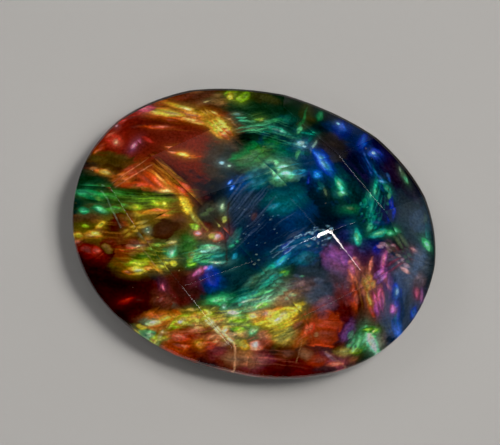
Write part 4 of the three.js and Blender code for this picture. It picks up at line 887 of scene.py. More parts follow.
FLAKES = (
    Crumbs(-7.2, -0.3, 4.6, 0.8, 8, (Hue.GREEN, Hue.LIME, Hue.FOREST, Hue.OLIVE), 16, 0.34, 0.5),
    Crumbs(-6.0, -2.0, 5.0, 1.8, 14, (Hue.STRAW, Hue.EMBER, Hue.OLIVE, Hue.GOLD), 14, 0.34, 0.45),
    Crumbs(-2.6, -2.0, 1.4, 0.9, 25, (Hue.MINT, Hue.GREEN, Hue.LIME, Hue.TEAL), 14, 0.22, 0.7),
    Crumbs(-0.4, -5.2, 5.6, 1.8, 20, (Hue.ORANGE, Hue.LIME, Hue.STRAW, Hue.BRICK, Hue.PEACH), 40, 0.34, 0.5),
    Crumbs(-2.2, -6.4, 4.0, 1.6, 18, (Hue.FLAME, Hue.CRIMSON, Hue.ORANGE, Hue.EMBER), 24, 0.4, 0.45),
    Crumbs(0.8, -2.9, 2.8, 0.8, 52, (Hue.TURQUOISE, Hue.TEAL, Hue.DEEP_TEAL), 40, 0.22, 0.55),
    Crumbs(2.5, -2.5, 2.2, 1.2, 20, (Hue.MAUVE, Hue.STEEL, Hue.SLATE, Hue.MINT), 40, 0.16, 0.35),
    Crumbs(0.6, 4.8, 3.4, 1.8, 10, (Hue.EMERALD, Hue.TEAL, Hue.FOREST, Hue.SAPPHIRE), 50, 0.26, 0.45),
    Crumbs(3.4, 3.2, 2.6, 2.2, -40, (Hue.TEAL, Hue.SAPPHIRE, Hue.DEEP_TEAL), 44, 0.26, 0.4),
    Crumbs(5.6, 4.6, 2.4, 1.4, -50, (Hue.INDIGO, Hue.AZURE, Hue.VIOLET, Hue.NAVY), 44, 0.2, 0.45),
    Crumbs(6.0, 2.2, 1.6, 1.8, 60, (Hue.TURQUOISE, Hue.TEAL, Hue.SAPPHIRE, Hue.INDIGO), 40, 0.18, 0.6),
    Crumbs(6.3, -1.4, 2.0, 2.4, -70, (Hue.ROSE, Hue.PLUM, Hue.CORAL, Hue.INDIGO), 40, 0.22, 0.4),
    Crumbs(7.4, 0.5, 2.0, 0.7, -15, (Hue.BLUSH, Hue.SAGE, Hue.ROSE, Hue.SLATE), 30, 0.2, 0.5),
    Crumbs(6.6, -4.5, 1.6, 1.4, 70, (Hue.GREEN, Hue.MINT, Hue.PLUM, Hue.MAUVE), 34, 0.2, 0.5),
    Crumbs(-0.2, 0.2, 3.0, 2.6, 55, (Hue.STEEL, Hue.ICE, Hue.SAPPHIRE), 80, 0.05, 0.35),
    Crumbs(3.2, 0.3, 1.4, 0.8, 30, (Hue.STEEL, Hue.ICE, Hue.TEAL), 50, 0.07, 0.6),
    Crumbs(0.0, 0.0, 18.0, 14.0, 10, (Hue.CREAM, Hue.FROST, Hue.PEACH), 40, 0.05, 0.3),
)

SOFT_GLOWS = (
    Flash(-3.95, -5.8, 2.0, 0.9, 25, Hue.ORANGE, 0.7, 0.75, 0.7),
    Flash(-4.5, -6.1, 1.0, 0.4, 20, Hue.MINT, 0.6, 0.6, 0.6),
    Flash(-3.7, -5.65, 0.9, 0.3, 25, Hue.GOLD, 0.6, 0.8, 0.5),
    Flash(0.2, -4.85, 1.6, 1.1, 12, Hue.SAGE, 0.8, 0.6, 0.7),
    Flash(0.1, -4.7, 0.8, 0.4, 20, Hue.MINT, 0.7, 0.6, 0.6),
    Flash(-1.1, -4.0, 1.6, 0.8, 22, Hue.EMERALD, 0.7, 0.55, 0.8),
    Flash(-1.2, -3.95, 0.9, 0.35, 22, Hue.MINT, 0.6, 0.6, 0.6),
    Flash(1.0, -3.5, 1.9, 0.9, 32, Hue.MINT, 0.8, 0.5, 0.8),
    Flash(1.1, -3.75, 0.9, 0.3, 28, Hue.LIME, 0.6, 0.6, 0.6),
    Flash(0.9, -6.95, 2.4, 0.9, 8, Hue.TAN, 0.9, 0.45, 0.8),
    Flash(1.9, -6.6, 1.3, 0.8, 0, Hue.ROSE, 0.8, 0.5, 0.6),
    Flash(-1.8, -5.3, 1.4, 0.8, 15, Hue.STRAW, 0.8, 0.4, 0.8),
    Flash(-0.6, -6.1, 1.4, 0.7, 10, Hue.PEACH, 0.8, 0.4, 0.7),
    Flash(5.8, -5.9, 1.6, 0.8, 25, Hue.ROSE, 0.8, 0.6, 0.7),
    Flash(5.6, -6.15, 1.0, 0.35, 20, Hue.CORAL, 0.7, 0.5, 0.6),
    Flash(4.7, -6.1, 1.2, 0.8, 10, Hue.RUST, 0.8, 0.6, 0.6),
    Flash(3.4, -5.1, 1.1, 0.9, 70, Hue.ORANGE, 0.8, 0.5, 0.8),
    Flash(2.5, -5.2, 1.5, 1.0, 0, Hue.STRAW, 0.8, 0.4, 0.8),
    Flash(-4.0, -4.75, 1.3, 1.0, 60, Hue.EARTH, 0.8, 0.5, 0.5),
    Flash(1.0, 1.75, 2.2, 1.5, 20, Hue.TEAL, 0.9, 0.5, 0.6),
    Flash(0.7, 1.3, 0.9, 0.3, 35, Hue.CYAN, 0.8, 0.4, 0.5),
    Flash(-0.4, 2.6, 1.5, 1.0, 40, Hue.TEAL, 0.8, 0.6, 0.7),
    Flash(0.65, 2.9, 1.1, 0.8, 20, Hue.MINT, 0.8, 0.35, 0.6),
    Flash(0.75, -2.4, 1.7, 0.9, 35, Hue.SAGE, 0.8, 0.45, 0.8),
    Flash(2.1, -3.2, 1.6, 0.8, 15, Hue.TAN, 0.8, 0.4, 0.8),
    Flash(1.7, -2.4, 1.4, 0.8, 20, Hue.SAGE, 0.8, 0.4, 0.7),
    Flash(4.0, -2.9, 1.4, 1.3, 0, Hue.STEEL, 0.8, 0.5, 0.5),
    Flash(-2.25, 6.9, 1.1, 0.9, 80, Hue.OLIVE, 0.8, 0.5, 0.7),
    Flash(-2.2, 7.1, 0.5, 0.3, 80, Hue.LIME, 0.7, 0.6, 0.5),
    Flash(-3.4, 6.6, 1.2, 0.9, 20, Hue.TAN, 0.9, 0.3, 0.7),
    Flash(8.9, 0.35, 1.4, 1.1, 60, Hue.STEEL, 0.9, 0.5, 0.4),
    Flash(9.15, -0.5, 1.0, 0.9, 80, Hue.MAUVE, 0.9, 0.6, 0.4),
    Flash(-6.8, -1.35, 1.2, 1.7, 8, Hue.WINE, 0.5, 0.8, 0.5),
    Flash(-5.9, -1.9, 1.2, 0.5, 5, Hue.EMBER, 0.6, 0.6, 0.5),
    Flash(-7.9, -1.9, 1.2, 0.5, 0, Hue.EMBER, 0.7, 0.5, 0.5),
    Flash(-1.4, -1.9, 1.0, 0.9, 30, Hue.INK, 0.8, 0.45, 0.4),
    Flash(0.45, 3.9, 1.3, 1.0, 0, Hue.TEAL, 0.8, 0.5, 0.6),
    Flash(-2.05, 7.25, 0.9, 0.5, 80, Hue.LIME, 0.7, 0.7, 0.6),
    Flash(-5.0, -6.1, 1.0, 0.7, 20, Hue.EMBER, 0.7, 0.5, 0.5),
    Flash(1.2, -4.55, 1.4, 0.7, 20, Hue.AMBER, 0.8, 0.45, 0.7),
    Flash(0.2, -4.7, 1.2, 0.7, 15, Hue.LIME, 0.7, 0.35, 0.7),
    Flash(0.95, -3.4, 1.2, 0.35, 30, Hue.FROST, 0.7, 0.4, 0.8),
    Flash(-3.75, -6.8, 1.0, 0.4, 25, Hue.LIME, 0.7, 0.6, 0.6),
    Flash(-2.7, -6.5, 1.6, 0.8, 12, Hue.FLAME, 0.8, 0.4, 0.8),
    Flash(6.5, -4.6, 1.0, 0.8, 80, Hue.MINT, 0.8, 0.4, 0.7),
    Flash(6.0, -5.3, 1.3, 0.6, 20, Hue.STRAW, 0.8, 0.35, 0.7),
)

REGIONS = (
    EMBER_CORNER, GREEN_HEADLAND, VIOLET_CORNER, DEEP_BLUE, ROSE_CORNER, FIRE_SHORE, DARK_CORNER, GREEN_BAND,
    SOFT_GLOWS,
)


# Painted light and shade: soft patches where the shell's colour is made brighter and darker.
PAINTED_LIGHT_PATCHES = (
    PaintedLightPatch(-0.5, -5.3, 10.0, 3.0, 0.45),
    PaintedLightPatch(1.4, -3.9, 4.0, 1.8, 0.2),
    PaintedLightPatch(2.0, -5.6, 3.0, 1.2, -0.3),
    PaintedLightPatch(3.4, -4.4, 1.4, 1.4, -0.3),
    PaintedLightPatch(3.5, -6.6, 7.0, 2.0, 0.4),
    PaintedLightPatch(7.0, -4.5, 2.6, 2.4, 0.4),
    PaintedLightPatch(9.0, 0.3, 1.8, 3.0, 0.5),
    PaintedLightPatch(8.4, 2.6, 1.6, 2.2, 0.4),
    PaintedLightPatch(-2.4, 6.8, 2.2, 1.8, 0.4),
    PaintedLightPatch(-2.9, 4.9, 2.0, 1.2, 0.3),
    PaintedLightPatch(-4.0, -4.7, 1.6, 1.4, 0.5),
    PaintedLightPatch(-6.0, -1.8, 4.0, 1.6, -0.15),
    PaintedLightPatch(-5.6, 3.4, 3.6, 2.0, 0.25),
    PaintedLightPatch(3.0, 2.2, 2.0, 2.0, 0.6),
    PaintedLightPatch(0.8, -2.5, 2.0, 1.2, 0.35),
    PaintedLightPatch(-3.7, -6.9, 1.8, 1.0, 0.35),
    PaintedLightPatch(-5.2, -6.2, 1.4, 1.0, -0.2),
)


LAYS = (
    Lay(-6.0, 5.2, -4, 1.1, 0.25, 0.9),
    Lay(-8.0, 3.2, 50, 0.8, 0.4, 0.7),
    Lay(-4.2, 3.2, -6, 1.0, 0.35, 0.6),
    Lay(-5.0, 1.2, -28, 1.2, 0.3, 0.7),
    Lay(-7.4, -0.2, 7, 0.9, 0.3, 1.2),
    Lay(-4.6, -1.0, 15, 0.9, 0.45, 1.0),
    Lay(-6.6, -2.8, 16, 0.9, 0.28, 1.2),
    Lay(-2.4, -1.9, 26, 0.6, 0.22, 1.2),
    Lay(-2.4, 0.2, 70, 0.7, 0.3, 1.0),
    Lay(-5.6, -5.0, 25, 1.2, 0.4, 0.6),
    Lay(-2.6, -3.8, -60, 0.8, 0.35, 0.8),
    Lay(-3.4, -6.0, 28, 0.7, 0.3, 1.2),
    Lay(-0.6, -5.6, 35, 0.6, 0.3, 1.2),
    Lay(1.8, -4.4, 28, 0.7, 0.28, 1.1),
    Lay(1.0, -6.8, 80, 0.9, 0.4, 0.9),
    Lay(4.4, -5.2, 15, 0.9, 0.5, 0.7),
    Lay(6.8, -4.6, 75, 0.7, 0.3, 1.1),
    Lay(0.4, -2.7, 50, 0.8, 0.25, 1.1),
    Lay(-0.2, 0.6, 60, 1.1, 0.14, 0.9),
    Lay(2.0, -0.4, 50, 0.9, 0.2, 0.9),
    Lay(3.4, -2.2, 20, 0.5, 0.35, 1.0),
    Lay(6.3, -1.8, -72, 0.9, 0.22, 1.2),
    Lay(8.4, -2.0, -72, 1.0, 0.25, 0.9),
    Lay(5.4, 0.4, 20, 0.6, 0.3, 1.1),
    Lay(8.0, 0.8, -15, 0.5, 0.25, 1.1),
    Lay(6.0, 2.8, 82, 0.6, 0.22, 1.2),
    Lay(8.4, 3.2, -65, 0.8, 0.35, 0.8),
    Lay(5.6, 5.0, -50, 0.6, 0.25, 1.1),
    Lay(3.4, 4.2, -38, 1.0, 0.3, 1.0),
    Lay(3.6, 1.8, 20, 1.0, 0.45, 0.8),
    Lay(0.8, 3.2, 20, 0.7, 0.35, 1.0),
    Lay(-1.2, 5.0, 20, 0.9, 0.22, 1.2),
    Lay(1.2, 6.2, 82, 0.7, 0.3, 1.1),
    Lay(-3.4, 6.6, 10, 0.7, 0.35, 1.0),
    Lay(3.8, 6.6, -60, 0.9, 0.4, 0.7),
)


class ShellNoise:
    """Smooth random values over a plane, the same in every run."""

    def __init__(self, seed: int, size: int = 256) -> None:
        """Fills the lattice.

        Args:
            seed: Start of the random sequence.
            size: Lattice points along each side.
        """
        self.size = size
        self.lattice = np.random.RandomState(seed).rand(size, size)

    def at(self, x: np.ndarray, y: np.ndarray) -> np.ndarray:
        """Reads the noise at lattice coordinates.

        Args:
            x: Places along the lattice.
            y: Places across the lattice.

        Returns:
            Values from 0 to 1.
        """
        column = np.floor(x).astype(int)
        row = np.floor(y).astype(int)
        along = x - column
        across = y - row
        along = along * along * (3 - 2 * along)
        across = across * across * (3 - 2 * across)
        left, right = column % self.size, (column + 1) % self.size
        near, far = row % self.size, (row + 1) % self.size
        low = self.lattice[near, left] * (1 - along) + self.lattice[near, right] * along
        high = self.lattice[far, left] * (1 - along) + self.lattice[far, right] * along
        return low * (1 - across) + high * across

    def layered(self, x: np.ndarray, y: np.ndarray) -> np.ndarray:
        """Three octaves of the noise, from 0 to 1."""
        middle = self.at(x * 2.1 + 17, y * 2.1 + 5)
        fine = self.at(x * 4.3 + 3, y * 4.3 + 29)
        return (self.at(x, y) * 4 + middle * 2 + fine) / 7

    def plates(self, x: np.ndarray, y: np.ndarray) -> tuple[np.ndarray, np.ndarray]:
        """Breaks the plane into plates around scattered seeds.

        Args:
            x: Places along the lattice.
            y: Places across the lattice.

        Returns:
            A value from 0 to 1 that is even over each plate, and the distance from the plate's edge.
        """
        column = np.floor(x).astype(int)
        row = np.floor(y).astype(int)
        nearest = np.full(x.shape, np.inf)
        second = np.full(x.shape, np.inf)
        value = np.zeros(x.shape)
        for right in (-1, 0, 1):
            for up in (-1, 0, 1):
                seed_column = (column + right) % self.size
                seed_row = (row + up) % self.size
                seed_x = column + right + self.lattice[seed_row, seed_column]
                seed_y = row + up + self.lattice[seed_column, seed_row]
                gap = np.hypot(seed_x - x, seed_y - y)
                closer = gap < nearest
                second = np.where(closer, nearest, np.minimum(second, gap))
                nearest = np.where(closer, gap, nearest)
                value = np.where(closer, self.lattice[seed_row, (seed_column * 7 + 3) % self.size], value)
        return value, second - nearest


@dataclass(frozen=True)
class Weave:
    """One way to read the noise over a patch: how often it changes in a millimetre, and where it starts."""

    along: float
    across: float
    start_along: float = 0.0
    start_across: float = 0.0

    def places(
        self, along: np.ndarray, across: np.ndarray, shift: float
    ) -> tuple[np.ndarray, np.ndarray]:
        """The noise's own coordinates of points in a patch."""
        return along * self.along + self.start_along + shift, across * self.across + self.start_across + shift


@dataclass(frozen=True)
class PatchStyle:
    """How every patch of colour is broken up. The margins are in millimetres, the rest are plain factors."""

    ragged: Weave = Weave(1.8, 4)
    grains: Weave = Weave(1.1, 5, 31, 13)
    fibres: Weave = Weave(1.1, 8, 5, 71)
    warmth: Weave = Weave(1.3, 3, 83, 47)
    step: float = 7.3
    reach: float = 1.6
    margin: float = 0.4
    roundness: float = 1.7
    sharpness: float = 0.5
    raggedness: float = 0.4
    plate_edge: float = 0.2
    small_plate_edge: float = 0.25
    chip_edge: float = 0.15
    breadth: float = 0.3
    halo_size: float = 1.3
    halo_margin: float = 0.3
    halo_cover: float = 0.3
    halo_fall: float = 1.2
    halo_dimming: float = 0.5
    tip_fade: float = 0.3
    fibre_gaps: float = 1.1
    most_faded: float = 0.9
    grain: float = 0.5
    small_grain: float = 2.6
    # Strength of the painted highlight in the middle of each patch.
    core: float = 0.3
    tint: float = 0.3
    small_tint: float = 0.9


@dataclass(frozen=True)
class ShellStyle:
    """How the layer varies from plate to plate, and how its lines and flakes are drawn.

    bend and lay_wander are in millimetres and flake_swing in degrees. The rest are plain factors.
    """

    bend: float = 0.20
    bend_scale: float = 1.3
    lay_wander: float = 1.0
    lay_scale: float = 0.9
    chip_scale: float = 2.0
    streak_along: float = 1.1
    streak_across: float = 1.4
    plate_gap: float = 0.14
    chip_gap: float = 0.2
    streak_light: float = 1.7
    plate_light: float = 0.8
    chip_light: float = 0.5
    seam_dark: float = 0.3
    painted_light_fall: float = 0.9
    glare_from: float = 0.85
    glare: float = 0.3
    deepening: float = 1.05
    crack_edge: float = 1.3
    line_edge: float = 1.5
    line_tilt: float = 0.10
    flake_growth: float = 1.6
    flake_swing: float = 40.0
    flake_soft: float = 0.4
    flake_grain: float = 0.3


class ShellPainter:
    """Lays colour on a set of points of the shell, patch over patch, as the nacre lies."""

    patch_style = PatchStyle()
    style = ShellStyle()

    def __init__(self, x: np.ndarray, y: np.ndarray) -> None:
        """Starts from plain dark shell.

        Args:
            x: Places along the gem in millimetres.
            y: Places across the gem in millimetres.
        """
        self.x = x
        self.y = y
        self.noise = ShellNoise(SEED)
        self.random = np.random.RandomState(SEED)
        bend, scale = self.style.bend, self.style.bend_scale
        self.bent_x = x + bend * (self.noise.layered(x * scale, y * scale) - 0.5)
        self.bent_y = y + bend * (self.noise.layered(x * scale + 60, y * scale + 40) - 0.5)
        self.colour = np.tile(Hue.INK.linear(), (len(x), 1))
        self.life = np.full(len(x), 0.1)
        self.break_up()

    def break_up(self) -> None:
        """Works out the plates and streaks of each part of the shell."""
        style = self.style
        scaled_x, scaled_y = self.x * style.lay_scale, self.y * style.lay_scale
        wide_x = self.x + style.lay_wander * (self.noise.layered(scaled_x + 7, scaled_y) - 0.5)
        wide_y = self.y + style.lay_wander * (self.noise.layered(scaled_x, scaled_y + 33) - 0.5)
        reach = np.stack([np.hypot(wide_x - lay.x, wide_y - lay.y) for lay in LAYS])
        owner = np.argmin(reach, axis=0)
        self.plate = np.zeros(len(self.x))
        self.chip = np.zeros(len(self.x))
        self.streak = np.zeros(len(self.x))
        self.seam = np.ones(len(self.x))
        self.contrast = np.ones(len(self.x))
        for number, lay in enumerate(LAYS):
            mine = np.flatnonzero(owner == number)
            if not len(mine):
                continue
            angle = math.radians(lay.turn)
            away_x, away_y = self.bent_x[mine] - lay.x, self.bent_y[mine] - lay.y
            along = away_x * math.cos(angle) + away_y * math.sin(angle) + 40 + 9 * number
            across = away_y * math.cos(angle) - away_x * math.sin(angle) + 40 + 5 * number
            lengthwise, crosswise, finer = along / lay.plate, across / lay.narrow, style.chip_scale
            self.plate[mine], edge = self.noise.plates(lengthwise, crosswise)
            self.chip[mine], chip_edge = self.noise.plates(lengthwise * finer + 70, crosswise * finer)
            self.streak[mine] = self.noise.layered(
                lengthwise * style.streak_along, crosswise * style.streak_across
            )
            plate_seam = np.clip(edge / style.plate_gap, 0, 1)
            self.seam[mine] = plate_seam * 0.6 + 0.4 * np.clip(chip_edge / style.chip_gap, 0, 1)
            self.contrast[mine] = lay.contrast

    def lay(self, cover: np.ndarray, shade: np.ndarray, where: np.ndarray) -> None:
        """Covers points with a colour.

        Args:
            cover: How much of each point is covered, from 0 to 1.
            shade: One colour, or a colour for each point.
            where: The numbers of the points.
        """
        self.colour[where] += cover[:, None] * (shade - self.colour[where])

    def local(
        self, x: float, y: float, turn: float, reach: float
    ) -> tuple[np.ndarray, np.ndarray, np.ndarray]:
        """The points near a patch, as seen from it.

        Args:
            x: The patch's centre along the gem.
            y: The patch's centre across the gem.
            turn: The patch's turn in degrees.
            reach: How far from the centre points are wanted.

        Returns:
            The points' numbers, and their distances along the patch and across it, in millimetres.
        """
        angle = math.radians(turn)
        near = np.flatnonzero((np.abs(self.bent_x - x) < reach) & (np.abs(self.bent_y - y) < reach))
        away_x = self.bent_x[near] - x
        away_y = self.bent_y[near] - y
        along = away_x * math.cos(angle) + away_y * math.sin(angle)
        across = away_y * math.cos(angle) - away_x * math.sin(angle)
        return near, along, across

    def flash(self, patch: Flash, order: int, shine: float = 1.0) -> None:
        """Lays one patch, with its edge broken along the plates and a grain along its length.

        Args:
            patch: The patch.
            order: Its number, which picks its part of the noise.
            shine: Strength of the glow around it.
        """
        style = self.patch_style
        half = 0.5 * max(patch.length, patch.width)
        reach = half * (style.reach + patch.soft) + style.margin
        near, along, across = self.local(patch.x, patch.y, patch.turn, reach)
        if not len(near):
            return
        shift = style.step * order
        broad = 1 / (1 + style.breadth * patch.length * patch.width)
        small = max(0.0, 1.6 * broad - 0.6)
        power = style.roundness
        reach_along, reach_across = 2 * np.abs(along) / patch.length, 2 * np.abs(across) / patch.width
        far = (reach_along ** power + reach_across ** power) ** (1 / power)
        ragged = self.noise.layered(*style.ragged.places(along, across, shift)) - 0.5
        plate_edge = style.plate_edge + style.small_plate_edge * broad
        far = far + style.raggedness * ragged + plate_edge * (self.plate[near] - 0.5)
        far = far + style.chip_edge * broad * (self.chip[near] - 0.5)
        hue = patch.hue.linear()[None, :]
        halo = np.hypot(
            2 * along / (style.halo_size * patch.length + style.halo_margin),
            2 * across / (style.halo_size * patch.width + style.halo_margin),
        )
        halo_cover = style.halo_cover * shine * small * patch.cover * np.exp(-style.halo_fall * halo * halo)
        self.lay(halo_cover, style.halo_dimming * hue, near)
        soft = style.sharpness * patch.soft
        cover = np.clip((1 + soft - far) / (2 * soft), 0, 1)
        cover = cover * cover * (3 - 2 * cover) * patch.cover
        tip = np.clip(1.5 * reach_along - 0.5, 0, 1)
        grain = self.noise.layered(*style.grains.places(along, across, shift)) - 0.5
        fibre = self.noise.at(*style.fibres.places(along, across, shift)) - 0.5
        faded = style.tip_fade * tip + style.fibre_gaps * np.clip(fibre, 0, 1) * (0.2 + tip)
        cover = cover * (1 - small * np.clip(faded, 0, style.most_faded))
        light = np.exp((style.grain + style.small_grain * broad) * patch.grain * grain)
        # Painted highlight: the middle of each patch, most in small ones, is paled towards its brightest
        # channel along the grain.
        core = np.clip(1.1 - 1.3 * far, 0, 1) * np.clip(2.5 * grain + 0.25, 0, 1) * broad
        warm = self.noise.layered(*style.warmth.places(along, across, shift)) - 0.5
        tint = 1 + (style.tint + style.small_tint * broad) * warm[:, None] * np.array([[1.0, 0.0, -1.0]])
        shade = hue * light[:, None] * tint
        shade = shade + style.core * core[:, None] * (shade.max(axis=1)[:, None] - shade)
        self.lay(cover, shade, near)
        self.life[near] += cover * (2 * patch.grain * broad - self.life[near])

    def crack(self, line: CrackAndLightLine) -> None:
        """Draws a wandering line through the given points.

        Args:
            line: The line to draw.
        """
        nearest = np.full(len(self.x), np.inf)
        wander_x = self.x + line.wander * 2 * (self.noise.at(self.x * 5, self.y * 5) - 0.5)
        wander_y = self.y + line.wander * 2 * (self.noise.at(self.x * 5 + 90, self.y * 5 + 20) - 0.5)
        for (start_x, start_y), (end_x, end_y) in zip(line.points, line.points[1:]):
            run_x, run_y = end_x - start_x, end_y - start_y
            dot = (wander_x - start_x) * run_x + (wander_y - start_y) * run_y
            part = np.clip(dot / (run_x ** 2 + run_y ** 2), 0, 1)
            gap = np.hypot(wander_x - start_x - part * run_x, wander_y - start_y - part * run_y)
            nearest = np.minimum(nearest, gap)
        broken = 0.35 + 0.65 * self.noise.at(self.x * 3 + 11, self.y * 3 + 51)
        cover = np.clip(self.style.crack_edge - nearest / (line.width / 2), 0, 1) * line.cover * broken
        near = np.flatnonzero(cover)
        self.lay(cover[near], line.hue.linear()[None, :], near)

    def striae(self, group: Striae) -> None:
        """Draws a family of parallel lines that thin out towards the patch's edge.

        Args:
            group: The family.
        """
        style = self.style
        near, along, across = self.local(group.x, group.y, group.turn, group.length)
        for _ in range(group.count):
            offset = (self.random.rand() - 0.5) * group.width
            middle = (self.random.rand() - 0.5) * group.length * 0.6
            half = group.length * (0.12 + 0.25 * self.random.rand())
            tilt = (self.random.rand() - 0.5) * style.line_tilt
            gap = np.abs(across - offset - tilt * along)
            fade = np.clip(1.4 - np.abs(along - middle) / half, 0, 1)
            strength = 0.4 + 0.6 * self.random.rand()
            cover = np.clip(style.line_edge - gap / group.fineness, 0, 1) * fade * group.cover * strength
            self.lay(cover, group.hue.linear()[None, :], near)

    def crumbs(self, group: Crumbs) -> None:
        """Scatters the flakes of one group.

        Args:
            group: The flakes.
        """
        style, turn = self.style, math.radians(group.turn)
        for _ in range(group.count):
            spread = math.sqrt(self.random.rand())
            bearing = 2 * math.pi * self.random.rand()
            along = 0.5 * group.length * spread * math.cos(bearing)
            across = 0.5 * group.width * spread * math.sin(bearing)
            x = group.x + along * math.cos(turn) - across * math.sin(turn)
            y = group.y + along * math.sin(turn) + across * math.cos(turn)
            size = group.size * (0.5 + 1.1 * self.random.rand())
            shape = 0.35 + 0.35 * self.random.rand()
            swing = group.turn + style.flake_swing * (self.random.rand() - 0.5)
            hue = group.hues[self.random.randint(len(group.hues))]
            order = int(self.random.randint(1000))
            cover = group.cover * (0.4 + 0.6 * self.random.rand())
            length, width = size * style.flake_growth, size * shape * style.flake_growth
            flake = Flash(x, y, length, width, swing, hue, style.flake_soft, cover, style.flake_grain)
            self.flash(flake, order, shine=0.0)

    def grow(self) -> np.ndarray:
        """Lays every patch, flake and line of the shell.

        Returns:
            A linear colour for each point.
        """
        order = 0
        for region in REGIONS:
            for patch in region:
                self.flash(patch, order)
                order += 1
        for group in FLAKES:
            self.crumbs(group)
        for patch in LATE_FLASHES:
            self.flash(patch, order)
            order += 1
        for group in STRIAE:
            self.striae(group)
        for line in CRACKS_AND_LIGHT_LINES:
            self.crack(line)
        return self.sparkle()

    def sparkle(self) -> np.ndarray:
        """Gives every plate and streak its own brightness, darkens the seams between plates, adds painted
        light and shade in soft patches, and a painted highlight that pushes the brightest colours towards
        white.

        Returns:
            The finished colours.
        """
        style = self.style
        depth = (0.25 + 0.75 * self.life) * self.contrast
        uneven = (
            style.streak_light * (self.streak - 0.5)
            + style.plate_light * (self.plate - 0.5)
            + style.chip_light * (self.chip - 0.5)
        )
        light = np.exp(uneven * depth) * (1 - style.seam_dark * depth * (1 - self.seam))
        # Painted light and shade: each patch scales the shell's brightness by its gain around its centre.
        for sheen in PAINTED_LIGHT_PATCHES:
            away = np.hypot(2 * (self.x - sheen.x) / sheen.length, 2 * (self.y - sheen.y) / sheen.width)
            light = light * (1 + sheen.gain * np.exp(-style.painted_light_fall * away * away))
        colour = self.colour * light[:, None]
        # Painted highlight: colours brighter than glare_from are pushed towards white.
        glare = np.clip(colour.max(axis=1) - style.glare_from, 0, 1) * style.glare
        colour = np.clip(colour + glare[:, None] * (0.4 + colour * 0.6), 0, 1)
        return colour ** style.deepening


class MaterialMaker:
    """A short way to build a node material."""

    usual_low: float = 0.3
    usual_high: float = 0.7

    def __init__(self, name: str) -> None:
        """Makes a material with a bare surface shader.

        Args:
            name: The material's name.
        """
        self.material = bpy.data.materials.new(name)
        self.material.use_nodes = True
        self.tree = self.material.node_tree
        self.surface = self.tree.nodes["Principled BSDF"]

    def node(self, kind: str, **settings: object) -> bpy.types.Node:
        """Adds a node.

        Args:
            kind: The node's type.
            **settings: Its properties.

        Returns:
            The node.
        """
        node = self.tree.nodes.new(kind)
        for name, value in settings.items():
            setattr(node, name, value)
        return node

    def link(self, source: bpy.types.NodeSocket, target: bpy.types.NodeSocket) -> None:
        """Joins two sockets."""
        self.tree.links.new(source, target)

    def set(self, **values: object) -> None:
        """Sets the surface shader's own sockets, with underscores for the spaces in their names.

        Args:
            **values: A value for each socket.
        """
        for name, value in values.items():
            self.surface.inputs[name.replace("_", " ")].default_value = value

    def place(self, scale: tuple[float, float, float] = (1000, 1000, 1000)) -> bpy.types.NodeSocket:
        """Object coordinates in millimetres, or stretched.

        Args:
            scale: Units to a metre along each axis.

        Returns:
            The scaled coordinates.
        """
        place = self.node("ShaderNodeTexCoord")
        mapping = self.node("ShaderNodeMapping")
        mapping.inputs["Scale"].default_value = scale
        self.link(place.outputs["Object"], mapping.inputs["Vector"])
        return mapping.outputs["Vector"]

    def noise(self, place: bpy.types.NodeSocket, scale: float, detail: float) -> bpy.types.Node:
        """Adds a noise texture.

        Args:
            place: Where it is read.
            scale: Its scale.
            detail: Its octaves.

        Returns:
            The texture node.
        """
        texture = self.node("ShaderNodeTexNoise")
        texture.inputs["Scale"].default_value = scale
        texture.inputs["Detail"].default_value = detail
        self.link(place, texture.inputs["Vector"])
        return texture

    def span(self, value: bpy.types.NodeSocket, low: float, high: float) -> bpy.types.NodeSocket:
        """Spreads a noise's usual values over a new range.

        Args:
            value: The noise.
            low: Result at the noise's usual low.
            high: Result at its usual high.

        Returns:
            The spread value.
        """
        spread = self.node("ShaderNodeMapRange")
        spread.inputs["From Min"].default_value = self.usual_low
        spread.inputs["From Max"].default_value = self.usual_high
        spread.inputs["To Min"].default_value = low
        spread.inputs["To Max"].default_value = high
        self.link(value, spread.inputs["Value"])
        return spread.outputs["Result"]

    def bump(self, height: bpy.types.NodeSocket, distance: float, strength: float) -> None:
        """Gives the surface a bump.

        Args:
            height: The height to follow.
            distance: Height of a full step in metres.
            strength: How much of it shows.
        """
        bump = self.node("ShaderNodeBump")
        bump.inputs["Distance"].default_value = distance
        bump.inputs["Strength"].default_value = strength
        self.link(height, bump.inputs["Height"])
        self.link(bump.outputs["Normal"], self.surface.inputs["Normal"])


@dataclass(frozen=True)
class ClearQuartz:
    """Polished clear quartz."""

    index: float = 1.544
    roughness: float = 0.0

    def make(self) -> bpy.types.Material:
        """The material."""
        maker = MaterialMaker("clear_quartz")
        maker.set(Base_Color=(1, 1, 1, 1), Roughness=self.roughness, IOR=self.index, Transmission_Weight=1.0)
        return maker.material


@dataclass(frozen=True)
class GroundQuartzAndPaintedShade:
    """The fine ground edge of the quartz, darkened by the dark bond under it; the same dark colour on one
    side of the upright wall is painted shade.
    """

    index: float = 1.544
    see_through: float = 0.1
    colour: tuple[float, float, float, float] = (0.05, 0.045, 0.04, 1)
    fineness: tuple[float, float, float] = (9000, 9000, 14000)
    roughness: tuple[float, float] = (0.3, 0.55)
    depth: float = 0.02 * MM

    def make(self) -> bpy.types.Material:
        """The material."""
        maker = MaterialMaker("ground_quartz_and_painted_shade")
        maker.set(Base_Color=self.colour, IOR=self.index, Transmission_Weight=self.see_through)
        grind = maker.noise(maker.place(self.fineness), scale=1.0, detail=4)
        maker.link(maker.span(grind.outputs["Fac"], *self.roughness), maker.surface.inputs["Roughness"])
        maker.bump(grind.outputs["Fac"], self.depth, strength=0.5)
        return maker.material


